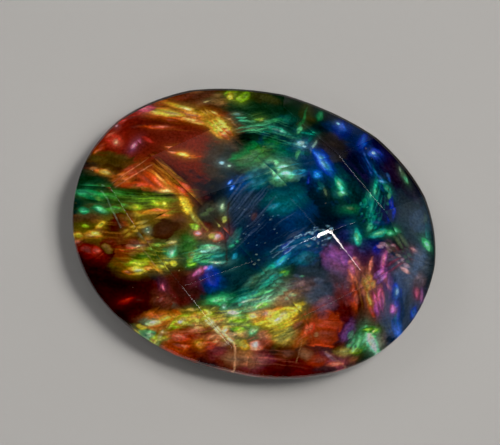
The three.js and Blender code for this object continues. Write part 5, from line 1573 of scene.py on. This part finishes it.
@dataclass(frozen=True)
class IridescentShell:
    """Nacre that takes its colour from the painted layer, with fine growth lines and a pearly sheen."""

    pearl: float = 0.25
    bonded_index: float = 1.12
    growth_scale: float = 7.0
    growth_light: tuple[float, float] = (0.72, 1.28)
    roughness: tuple[float, float] = (0.34, 0.55)
    wrinkle_scale: float = 2.2
    wrinkle_depth: float = 0.08 * MM

    def make(self) -> bpy.types.Material:
        """The material."""
        maker = MaterialMaker("iridescent_shell")
        maker.set(IOR=self.bonded_index, Metallic=self.pearl)
        layer = maker.node("ShaderNodeAttribute", attribute_name="nacre")
        place = maker.place()
        fine = maker.noise(place, self.growth_scale, detail=5)
        light = maker.span(fine.outputs["Fac"], *self.growth_light)
        shade = maker.node("ShaderNodeMix", data_type="RGBA", blend_type="MULTIPLY")
        shade.inputs["Factor"].default_value = 1.0
        maker.link(layer.outputs["Color"], shade.inputs["A"])
        maker.link(light, shade.inputs["B"])
        maker.link(shade.outputs["Result"], maker.surface.inputs["Base Color"])
        maker.link(maker.span(fine.outputs["Fac"], *self.roughness), maker.surface.inputs["Roughness"])
        wrinkles = maker.noise(place, self.wrinkle_scale, detail=6)
        maker.bump(wrinkles.outputs["Fac"], self.wrinkle_depth, strength=0.4)
        return maker.material


@dataclass(frozen=True)
class DarkShale:
    """Ground dark shale, a little cloudy."""

    darkest: tuple[float, float, float, float] = (0.010, 0.008, 0.007, 1)
    palest: tuple[float, float, float, float] = (0.060, 0.050, 0.042, 1)
    dark_until: float = 0.35
    pale_from: float = 0.75
    cloud_scale: float = 1.1
    roughness: tuple[float, float] = (0.55, 0.8)
    grain_scale: float = 9.0
    grain_depth: float = 0.04 * MM

    def make(self) -> bpy.types.Material:
        """The material."""
        maker = MaterialMaker("dark_shale")
        place = maker.place()
        cloud = maker.noise(place, self.cloud_scale, detail=6)
        ramp = maker.node("ShaderNodeValToRGB")
        dark, pale = ramp.color_ramp.elements
        dark.position, dark.color = self.dark_until, self.darkest
        pale.position, pale.color = self.pale_from, self.palest
        maker.link(cloud.outputs["Fac"], ramp.inputs["Fac"])
        maker.link(ramp.outputs["Color"], maker.surface.inputs["Base Color"])
        maker.link(maker.span(cloud.outputs["Fac"], *self.roughness), maker.surface.inputs["Roughness"])
        grain = maker.noise(place, self.grain_scale, detail=5)
        maker.bump(grain.outputs["Fac"], self.grain_depth, strength=0.5)
        return maker.material


@dataclass(frozen=True)
class PaleFloor:
    """A plain pale floor."""

    colour: tuple[float, float, float, float] = (0.375, 0.369, 0.363, 1)
    roughness: float = 0.9

    def make(self) -> bpy.types.Material:
        """The material."""
        maker = MaterialMaker("pale_floor")
        maker.set(Base_Color=self.colour, Roughness=self.roughness)
        return maker.material


def new_piece(name: str, mesh: bpy.types.Mesh) -> bpy.types.Object:
    """Puts a mesh in the scene as an object at the origin.

    Args:
        name: The piece's name.
        mesh: Its mesh.

    Returns:
        The object.
    """
    piece = bpy.data.objects.new(name, mesh)
    bpy.context.scene.collection.objects.link(piece)
    return piece


def node_object(name: str) -> bpy.types.Object:
    """The frame's own object of a node."""
    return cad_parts[name]


@dataclass(frozen=True)
class CutLimits:
    """How the cap's faces and edges are told apart: by the height of a face's normal, and by angles."""

    underside: float = -0.9
    wall: float = 0.1
    smooth_wall: float = 0.05
    crown: float = 0.5
    broad_cut: float = 0.7
    broad_area: float = 2 * MM * MM
    flat_angle: float = math.radians(0.6)
    ridge_angle: float = math.radians(5)
    sharp_angle: float = math.radians(6)


@dataclass
class QuartzCap:
    """The faceted clear cap: ridges just softened, one corner rubbed, lower edge ground and darkened by the
    bond, and one side of the upright wall painted dark as shade.
    """

    node: str = "quartz_cap"
    slot: str = "clear_quartz"
    limits: CutLimits = field(default_factory=CutLimits)
    corner_gap: float = 0.04 * MM
    foot_slack: float = 0.01 * MM
    ridge_wear: float = 0.017 * MM
    ridge_steps: int = 2
    rim_wear: float = 0.08 * MM
    rim_steps: int = 5
    worn_corner: tuple[float, float] = (3.7 * MM, 0.0)
    worn_parts: tuple[float, float] = (0.15, 0.3)
    worn_round: float = 0.12 * MM
    worn_width: float = 0.17 * MM
    worn_steps: int = 6
    worn_below: float = -0.5 * MM
    edge_grind: float = 0.12 * MM
    stain_width: float = 0.09 * MM
    # Direction that the painted-shade side of the upright wall faces.
    painted_shade_side: tuple[float, float] = (0.53, 0.85)
    polish: ClearQuartz = field(default_factory=ClearQuartz)
    grind: GroundQuartzAndPaintedShade = field(default_factory=GroundQuartzAndPaintedShade)

    def build(self) -> bpy.types.Object:
        """Takes a merged copy of the cut cap, grinds its lower edge and softens its other edges.

        Returns:
            The dressed cap.
        """
        limits = self.limits
        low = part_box(self.node)[0]
        mesh = node_object(self.node).data.copy()
        work = bmesh.new()
        work.from_mesh(mesh)
        bmesh.ops.remove_doubles(work, verts=work.verts, dist=self.corner_gap)
        bmesh.ops.dissolve_limit(
            work, angle_limit=limits.flat_angle, verts=work.verts, edges=work.edges, delimit=set()
        )
        work.normal_update()
        floor = low[2] + self.foot_slack
        foot = [edge for edge in work.edges if all(vert.co.z < floor for vert in edge.verts)]
        ground = self.bevel(work, foot, self.edge_grind, segments=1)
        underside = [face for face in work.faces if face.normal.z < limits.underside]
        painted_shade_facing = Vector((*self.painted_shade_side, 0))
        ground += bmesh.ops.inset_region(work, faces=underside, thickness=self.stain_width)["faces"]
        wall = [face for face in work.faces if abs(face.normal.z) < limits.wall]
        # Painted shade: the half of the upright wall that faces the upper right also gets the dark edge
        # colour.
        ground += [face for face in wall if face.normal.dot(painted_shade_facing) > 0]
        for face in ground:
            face.material_index = 1
        self.bevel(work, self.worn_edges(work), self.worn_width, self.worn_steps)
        work.normal_update()
        rims = [edge for edge in work.edges if self.is_rim(edge)]
        self.bevel(work, rims, self.rim_wear, self.rim_steps)
        work.normal_update()
        ridges = [edge for edge in work.edges if self.is_ridge(edge)]
        self.bevel(work, ridges, self.ridge_wear, self.ridge_steps)
        for face in work.faces:
            face.smooth = abs(face.normal.z) < limits.smooth_wall
        for edge in work.edges:
            if len(edge.link_faces) == 2 and edge.calc_face_angle() > limits.sharp_angle:
                edge.smooth = False
        bmesh.ops.recalc_face_normals(work, faces=work.faces)
        mesh.materials.clear()
        mesh.materials.append(self.polish.make())
        mesh.materials.append(self.grind.make())
        work.to_mesh(mesh)
        work.free()
        return new_piece("faceted_cap", mesh)

    def worn_edges(self, work: bmesh.types.BMesh) -> list[bmesh.types.BMEdge]:
        """Rounds one corner of the table and splits off the rubbed stretches of the two ridges beside it.

        Args:
            work: The cap.

        Returns:
            The rubbed edges, in a row round the corner.
        """
        wanted = Vector((*self.worn_corner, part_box(self.node)[1].z))
        corner = min(work.verts, key=lambda vert: (vert.co - wanted).length)
        beside = [edge for edge in corner.link_edges if edge.other_vert(corner).co.y < self.worn_below]
        beside.sort(key=lambda edge: -edge.calc_length())
        place = corner.co.copy()
        ends = [bmesh.utils.edge_split(edge, corner, part)[1] for edge, part in zip(beside, self.worn_parts)]
        bmesh.ops.bevel(
            work, geom=[corner], offset=self.worn_round, offset_type="OFFSET", segments=1, profile=0.5,
            affect="VERTICES", material=-1, clamp_overlap=False,
        )
        work.normal_update()
        tips = [
            min(end.link_edges, key=lambda edge: (edge.other_vert(end).co - place).length) for end in ends
        ]
        inner = [tip.other_vert(end) for tip, end in zip(tips, ends)]
        between = [edge for edge in inner[0].link_edges if edge.other_vert(inner[0]) is inner[1]]
        return tips + between

    def is_rim(self, edge: bmesh.types.BMEdge) -> bool:
        """Whether an edge lies between the crown and the upright wall."""
        if len(edge.link_faces) != 2:
            return False
        slopes = sorted(face.normal.z for face in edge.link_faces)
        return abs(slopes[0]) < self.limits.wall and slopes[1] > self.limits.crown

    def is_ridge(self, edge: bmesh.types.BMEdge) -> bool:
        """Whether an edge is a ridge between two cuts of the crown."""
        if len(edge.link_faces) != 2:
            return False
        limits = self.limits
        if edge.calc_face_angle() < limits.ridge_angle:
            return False
        return all(
            face.normal.z > limits.broad_cut and face.calc_area() > limits.broad_area
            for face in edge.link_faces
        )

    def bevel(
        self, work: bmesh.types.BMesh, edges: list[bmesh.types.BMEdge], offset: float, segments: int
    ) -> list[bmesh.types.BMFace]:
        """Softens edges.

        Args:
            work: The mesh.
            edges: The edges.
            offset: Width taken from each side.
            segments: Faces across the softened edge.

        Returns:
            The new faces.
        """
        result = bmesh.ops.bevel(
            work, geom=edges, offset=offset, offset_type="OFFSET", segments=segments, profile=0.5,
            affect="EDGES", material=-1, clamp_overlap=False,
        )
        return result["faces"]


def oval_point(
    across_x: float, across_y: float, half_length: float, half_width: float
) -> tuple[float, float]:
    """Moves a point of the unit disc to the gem's oval.

    Args:
        across_x: The point's place along, from -1 to 1.
        across_y: The point's place across, from -1 to 1.
        half_length: Half the oval's length.
        half_width: Half the oval's width.

    Returns:
        The point in the oval.
    """
    radius = math.hypot(across_x, across_y)
    if radius == 0:
        return 0.0, 0.0
    power = OUTLINE_EXPONENT
    bulge = (abs(across_x / radius) ** power + abs(across_y / radius) ** power) ** (-1 / power)
    return across_x * bulge * half_length, across_y * bulge * half_width


@dataclass
class AmmoliteSheet:
    """The thin sheet of shell, fine enough to carry its colours point by point."""

    node: str = "ammolite_sheet"
    slot: str = "iridescent_shell"
    bond_depth: float = 0.01 * MM
    rows: int = 270
    columns: int = 336
    finish: IridescentShell = field(default_factory=IridescentShell)

    def build(self) -> bpy.types.Object:
        """Makes the sheet from a grid that is drawn into the oval.

        Returns:
            The dressed sheet.
        """
        low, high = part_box(self.node)
        half_length = (high[0] - low[0]) / 2
        half_width = (high[1] - low[1]) / 2
        top = high[2] + self.bond_depth
        work = bmesh.new()
        bmesh.ops.create_grid(work, x_segments=self.columns, y_segments=self.rows, size=1.0)
        for vert in work.verts:
            x, y = vert.co.x, vert.co.y
            disc_x = x * math.sqrt(1 - y * y / 2)
            disc_y = y * math.sqrt(1 - x * x / 2)
            vert.co.x, vert.co.y = oval_point(disc_x, disc_y, half_length, half_width)
            vert.co.z = top
        rim = [edge for edge in work.edges if len(edge.link_faces) == 1]
        wall = bmesh.ops.extrude_edge_only(work, edges=rim)
        lower = [item for item in wall["geom"] if isinstance(item, bmesh.types.BMVert)]
        bmesh.ops.translate(work, verts=lower, vec=Vector((0, 0, low[2] - top)))
        open_edges = [edge for edge in work.edges if len(edge.link_faces) == 1]
        bmesh.ops.holes_fill(work, edges=open_edges, sides=0)
        bmesh.ops.recalc_face_normals(work, faces=work.faces)
        mesh = bpy.data.meshes.new("shell_sheet")
        work.to_mesh(mesh)
        work.free()
        self.colour(mesh)
        mesh.materials.append(self.finish.make())
        return new_piece("shell_sheet", mesh)

    def colour(self, mesh: bpy.types.Mesh) -> None:
        """Paints the sheet's points.

        Args:
            mesh: The sheet.
        """
        count = len(mesh.vertices)
        places = np.empty(count * 3, dtype=np.float32)
        mesh.vertices.foreach_get("co", places)
        places = places.reshape(count, 3).astype(float) / MM
        shades = ShellPainter(places[:, 0], places[:, 1]).grow()
        values = np.ones((count, 4), dtype=np.float32)
        values[:, :3] = shades
        attribute = mesh.color_attributes.new("nacre", "FLOAT_COLOR", "POINT")
        attribute.data.foreach_set("color", values.ravel())


@dataclass
class ShaleBase:
    """The dark base, with a sloping wall that is ground a little uneven."""

    node: str = "shale_base"
    slot: str = "dark_shale"
    steps: int = 180
    wall_rings: int = 8
    foot_slack: float = 0.01 * MM
    unevenness: float = 0.03 * MM
    hollows_round: float = 14.0
    hollows_up: float = 4.0
    hollows_start: float = 50.0
    rim_slack: float = 0.001 * MM
    finish: DarkShale = field(default_factory=DarkShale)

    def build(self) -> bpy.types.Object:
        """Raises the wall ring by ring between the foot and the top.

        Returns:
            The dressed base.
        """
        low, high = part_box(self.node)
        node = node_object(self.node).data
        foot = max(vert.co.x for vert in node.vertices if vert.co.z < low[2] + self.foot_slack)
        half_length = (high[0] - low[0]) / 2
        half_width = (high[1] - low[1]) / 2
        draw_in = half_length - foot
        work = bmesh.new()
        ring = bmesh.ops.create_circle(work, cap_ends=True, segments=self.steps, radius=1.0)["verts"]
        self.shape(ring, half_length - draw_in, half_width - draw_in, low[2])
        edges = [edge for edge in work.edges if edge.is_boundary]
        for number in range(1, self.wall_rings + 1):
            part = number / self.wall_rings
            grown = bmesh.ops.extrude_edge_only(work, edges=edges)["geom"]
            verts = [item for item in grown if isinstance(item, bmesh.types.BMVert)]
            edges = [item for item in grown if isinstance(item, bmesh.types.BMEdge) and item.is_boundary]
            inset = draw_in * (1 - part)
            level = low[2] + (high[2] - low[2]) * part
            self.shape(verts, half_length - inset, half_width - inset, level)
        bmesh.ops.holes_fill(work, edges=edges, sides=0)
        bmesh.ops.recalc_face_normals(work, faces=work.faces)
        self.roughen(work, low[2], high[2])
        mesh = bpy.data.meshes.new("shale_backing")
        work.to_mesh(mesh)
        work.free()
        mesh.materials.append(self.finish.make())
        return new_piece("shale_backing", mesh)

    def shape(
        self, verts: list[bmesh.types.BMVert], half_length: float, half_width: float, level: float
    ) -> None:
        """Moves a ring of points to the oval outline at a level.

        Args:
            verts: The ring.
            half_length: Half the oval's length.
            half_width: Half the oval's width.
            level: Height of the ring.
        """
        for vert in verts:
            radius = math.hypot(vert.co.x, vert.co.y)
            direction_x, direction_y = vert.co.x / radius, vert.co.y / radius
            vert.co.x, vert.co.y = oval_point(direction_x, direction_y, half_length, half_width)
            vert.co.z = level

    def roughen(self, work: bmesh.types.BMesh, bottom: float, top: float) -> None:
        """Presses shallow grinding hollows into the wall, never outwards.

        Args:
            work: The base.
            bottom: Level of the foot.
            top: Level of the top.
        """
        noise = ShellNoise(SEED + 1)
        for vert in work.verts:
            if bottom + self.rim_slack < vert.co.z < top - self.rim_slack:
                bearing = math.atan2(vert.co.y, vert.co.x)
                round_place = np.array([bearing * self.hollows_round + self.hollows_start])
                level = np.array([vert.co.z / MM * self.hollows_up])
                depth = noise.at(round_place, level)[0]
                scale = 1 - depth * self.unevenness / math.hypot(vert.co.x, vert.co.y)
                vert.co.x *= scale
                vert.co.y *= scale


class Direction(Enum):
    """Where each soft light stands around the gem: compass direction and height, in degrees."""

    KEY = (44, 57)
    UPPER_KEY = (24, 70)
    BESIDE_KEY = (10, 57)
    FRONT_RIGHT = (-42, 49)
    FRONT_LEFT = (-125, 55)
    LEFT = (180, 60)
    OVER_CAMERA = (-104, 72)
    LOW_FRONT = (-104, 13)
    LEFT_WINDOW = (106, 45)
    RIDGE_CARD = (60, 25)
    RIGHT_CARD = (36, 10)
    FAR_RIGHT_CARD = (-5, 19)
    OVERHEAD_VEIL = (-16, 66)
    LEFT_RIDGE_CARD = (144, 33)
    LOW_LEFT_RIDGE_CARD = (170, 43)
    NEAR_RIDGE_CARD = (-94, 45)
    UPPER_LEFT_RIDGE_CARD = (127, 50)


class Tint(Enum):
    """The colour of a light."""

    PLAIN = (1.0, 1.0, 1.0)
    WARM = (1.0, 0.97, 0.93)
    BLUE = (0.62, 0.88, 1.0)


@dataclass(frozen=True)
class SoftLight:
    """A rectangular soft light that faces the gem."""

    stand: Direction
    wide: float
    high: float
    glow: float
    tint: Tint = Tint.WARM
    away: float = 0.32
    fan: float = 50.0

    def hang(self, aim: Vector) -> bpy.types.Object:
        """Puts the light in the scene.

        Args:
            aim: The point that it faces.

        Returns:
            The light object.
        """
        bearing, height = (math.radians(angle) for angle in self.stand.value)
        outward = Vector((
            math.cos(height) * math.cos(bearing),
            math.cos(height) * math.sin(bearing),
            math.sin(height),
        ))
        lamp = bpy.data.lights.new(self.stand.name.lower(), "AREA")
        lamp.shape = "RECTANGLE"
        lamp.size = 2 * self.away * math.tan(math.radians(self.wide / 2))
        lamp.size_y = 2 * self.away * math.tan(math.radians(self.high / 2))
        half_fan = math.radians(self.fan / 2)
        lamp.spread = 2 * half_fan
        gathered = 1 - half_fan / math.tan(half_fan)
        lamp.energy = self.glow * math.pi * lamp.size * lamp.size_y * gathered
        lamp.color = self.tint.value
        light = bpy.data.objects.new(self.stand.name.lower(), lamp)
        light.location = aim + outward * self.away
        light.rotation_euler = outward.to_track_quat("Z", "Y").to_euler()
        light.visible_camera = False
        bpy.context.scene.collection.objects.link(light)
        return light


@dataclass
class Studio:
    """The floor, the lights and the camera."""

    picture_width: int = 500
    picture_height: int = 445
    camera_tilt: float = 18.0
    camera_bearing: float = -104.0
    camera_roll: float = 11.58
    camera_away: float = 0.12
    focal_pixels: float = 2202.0
    centre_pixel: tuple[float, float] = (255.3, 230.5)
    girdle_level: float = 1.85 * MM
    sensor: float = 36.0
    clip: tuple[float, float] = (0.005, 20.0)
    floor_size: float = 3.0
    sky: tuple[float, float, float, float] = (0.95, 0.97, 1.0, 1)
    sky_glow: float = 0.03
    black_point: float = 0.006
    lights: tuple[SoftLight, ...] = (
        SoftLight(Direction.KEY, 19, 22, 10.5),
        SoftLight(Direction.UPPER_KEY, 12, 12, 38),
        SoftLight(Direction.BESIDE_KEY, 9, 9, 22),
        SoftLight(Direction.FRONT_RIGHT, 24, 24, 1.2),
        SoftLight(Direction.FRONT_LEFT, 26, 26, 0.25),
        SoftLight(Direction.LEFT, 18, 18, 0.4),
        SoftLight(Direction.OVER_CAMERA, 15, 15, 2.5),
        SoftLight(Direction.LOW_FRONT, 90, 24, 1, fan=160),
        SoftLight(Direction.LEFT_WINDOW, 24, 20, 0.2),
        SoftLight(Direction.RIDGE_CARD, 12, 20, 5, Tint.PLAIN),
        SoftLight(Direction.RIGHT_CARD, 22, 14, 0.27, Tint.BLUE),
        SoftLight(Direction.FAR_RIGHT_CARD, 18, 16, 0.34, Tint.BLUE),
        SoftLight(Direction.OVERHEAD_VEIL, 18, 18, 0.1, Tint.BLUE),
        SoftLight(Direction.LEFT_RIDGE_CARD, 12, 14, 6, Tint.PLAIN),
        SoftLight(Direction.LOW_LEFT_RIDGE_CARD, 14, 14, 5, Tint.PLAIN),
        SoftLight(Direction.NEAR_RIDGE_CARD, 10, 10, 6, Tint.PLAIN),
        SoftLight(Direction.UPPER_LEFT_RIDGE_CARD, 9, 9, 4, Tint.PLAIN),
    )

    def build(self) -> None:
        """Sets up floor, sky, lights and camera."""
        self.lay_floor()
        self.light_sky()
        aim = Vector((0, 0, self.girdle_level))
        for light in self.lights:
            light.hang(aim)
        self.stand_camera(aim)
        self.grade()

    def grade(self) -> None:
        """Shows colours as a phone camera does, with a firm black."""
        view = bpy.context.scene.view_settings
        view.view_transform = "Standard"
        view.use_curve_mapping = True
        view.curve_mapping.black_level = (self.black_point,) * 3
        view.curve_mapping.update()

    def lay_floor(self) -> None:
        """Makes the plain pale floor under the gem."""
        work = bmesh.new()
        bmesh.ops.create_grid(work, x_segments=1, y_segments=1, size=self.floor_size / 2)
        mesh = bpy.data.meshes.new("floor")
        work.to_mesh(mesh)
        work.free()
        mesh.materials.append(PaleFloor().make())
        new_piece("floor", mesh)

    def light_sky(self) -> None:
        """Gives the room a dim, even light."""
        world = bpy.data.worlds.new("room")
        world.use_nodes = True
        sky = world.node_tree.nodes["Background"]
        sky.inputs["Color"].default_value = self.sky
        sky.inputs["Strength"].default_value = self.sky_glow
        bpy.context.scene.world = world

    def stand_camera(self, aim: Vector) -> None:
        """Looks down on the gem from the photograph's side.

        Args:
            aim: The middle of the gem's girdle.
        """
        tilt, bearing, roll = (
            math.radians(angle) for angle in (self.camera_tilt, self.camera_bearing, self.camera_roll)
        )
        back = Vector((
            math.sin(tilt) * math.cos(bearing),
            math.sin(tilt) * math.sin(bearing),
            math.cos(tilt),
        ))
        level = Vector((-math.sin(roll), math.cos(roll), 0))
        up = (level - back * level.dot(back)).normalized()
        right = up.cross(back)
        pixel = self.camera_away / self.focal_pixels
        shift_right = (self.picture_width / 2 - self.centre_pixel[0]) * pixel
        shift_up = (self.centre_pixel[1] - self.picture_height / 2) * pixel
        camera = bpy.data.cameras.new("photo_camera")
        camera.sensor_width = self.sensor
        camera.lens = self.focal_pixels / self.picture_width * self.sensor
        camera.clip_start, camera.clip_end = self.clip
        holder = bpy.data.objects.new("photo_camera", camera)
        holder.location = aim + back * self.camera_away + right * shift_right + up * shift_up
        holder.rotation_euler = Matrix((right, up, back)).transposed().to_euler()
        bpy.context.scene.collection.objects.link(holder)
        bpy.context.scene.camera = holder


def main() -> None:
    """Builds the gem's pieces from the base up, then the studio."""
    logging.basicConfig(level=logging.INFO, format="%(name)s: %(message)s")
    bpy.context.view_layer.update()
    for part in (ShaleBase(), AmmoliteSheet(), QuartzCap()):
        piece = part.build()
        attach(piece, "root")
        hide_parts(part.node)
        LOG.info("%s has %d faces", piece.name, len(piece.data.polygons))
    Studio().build()


if __name__ == "__main__":
    main()
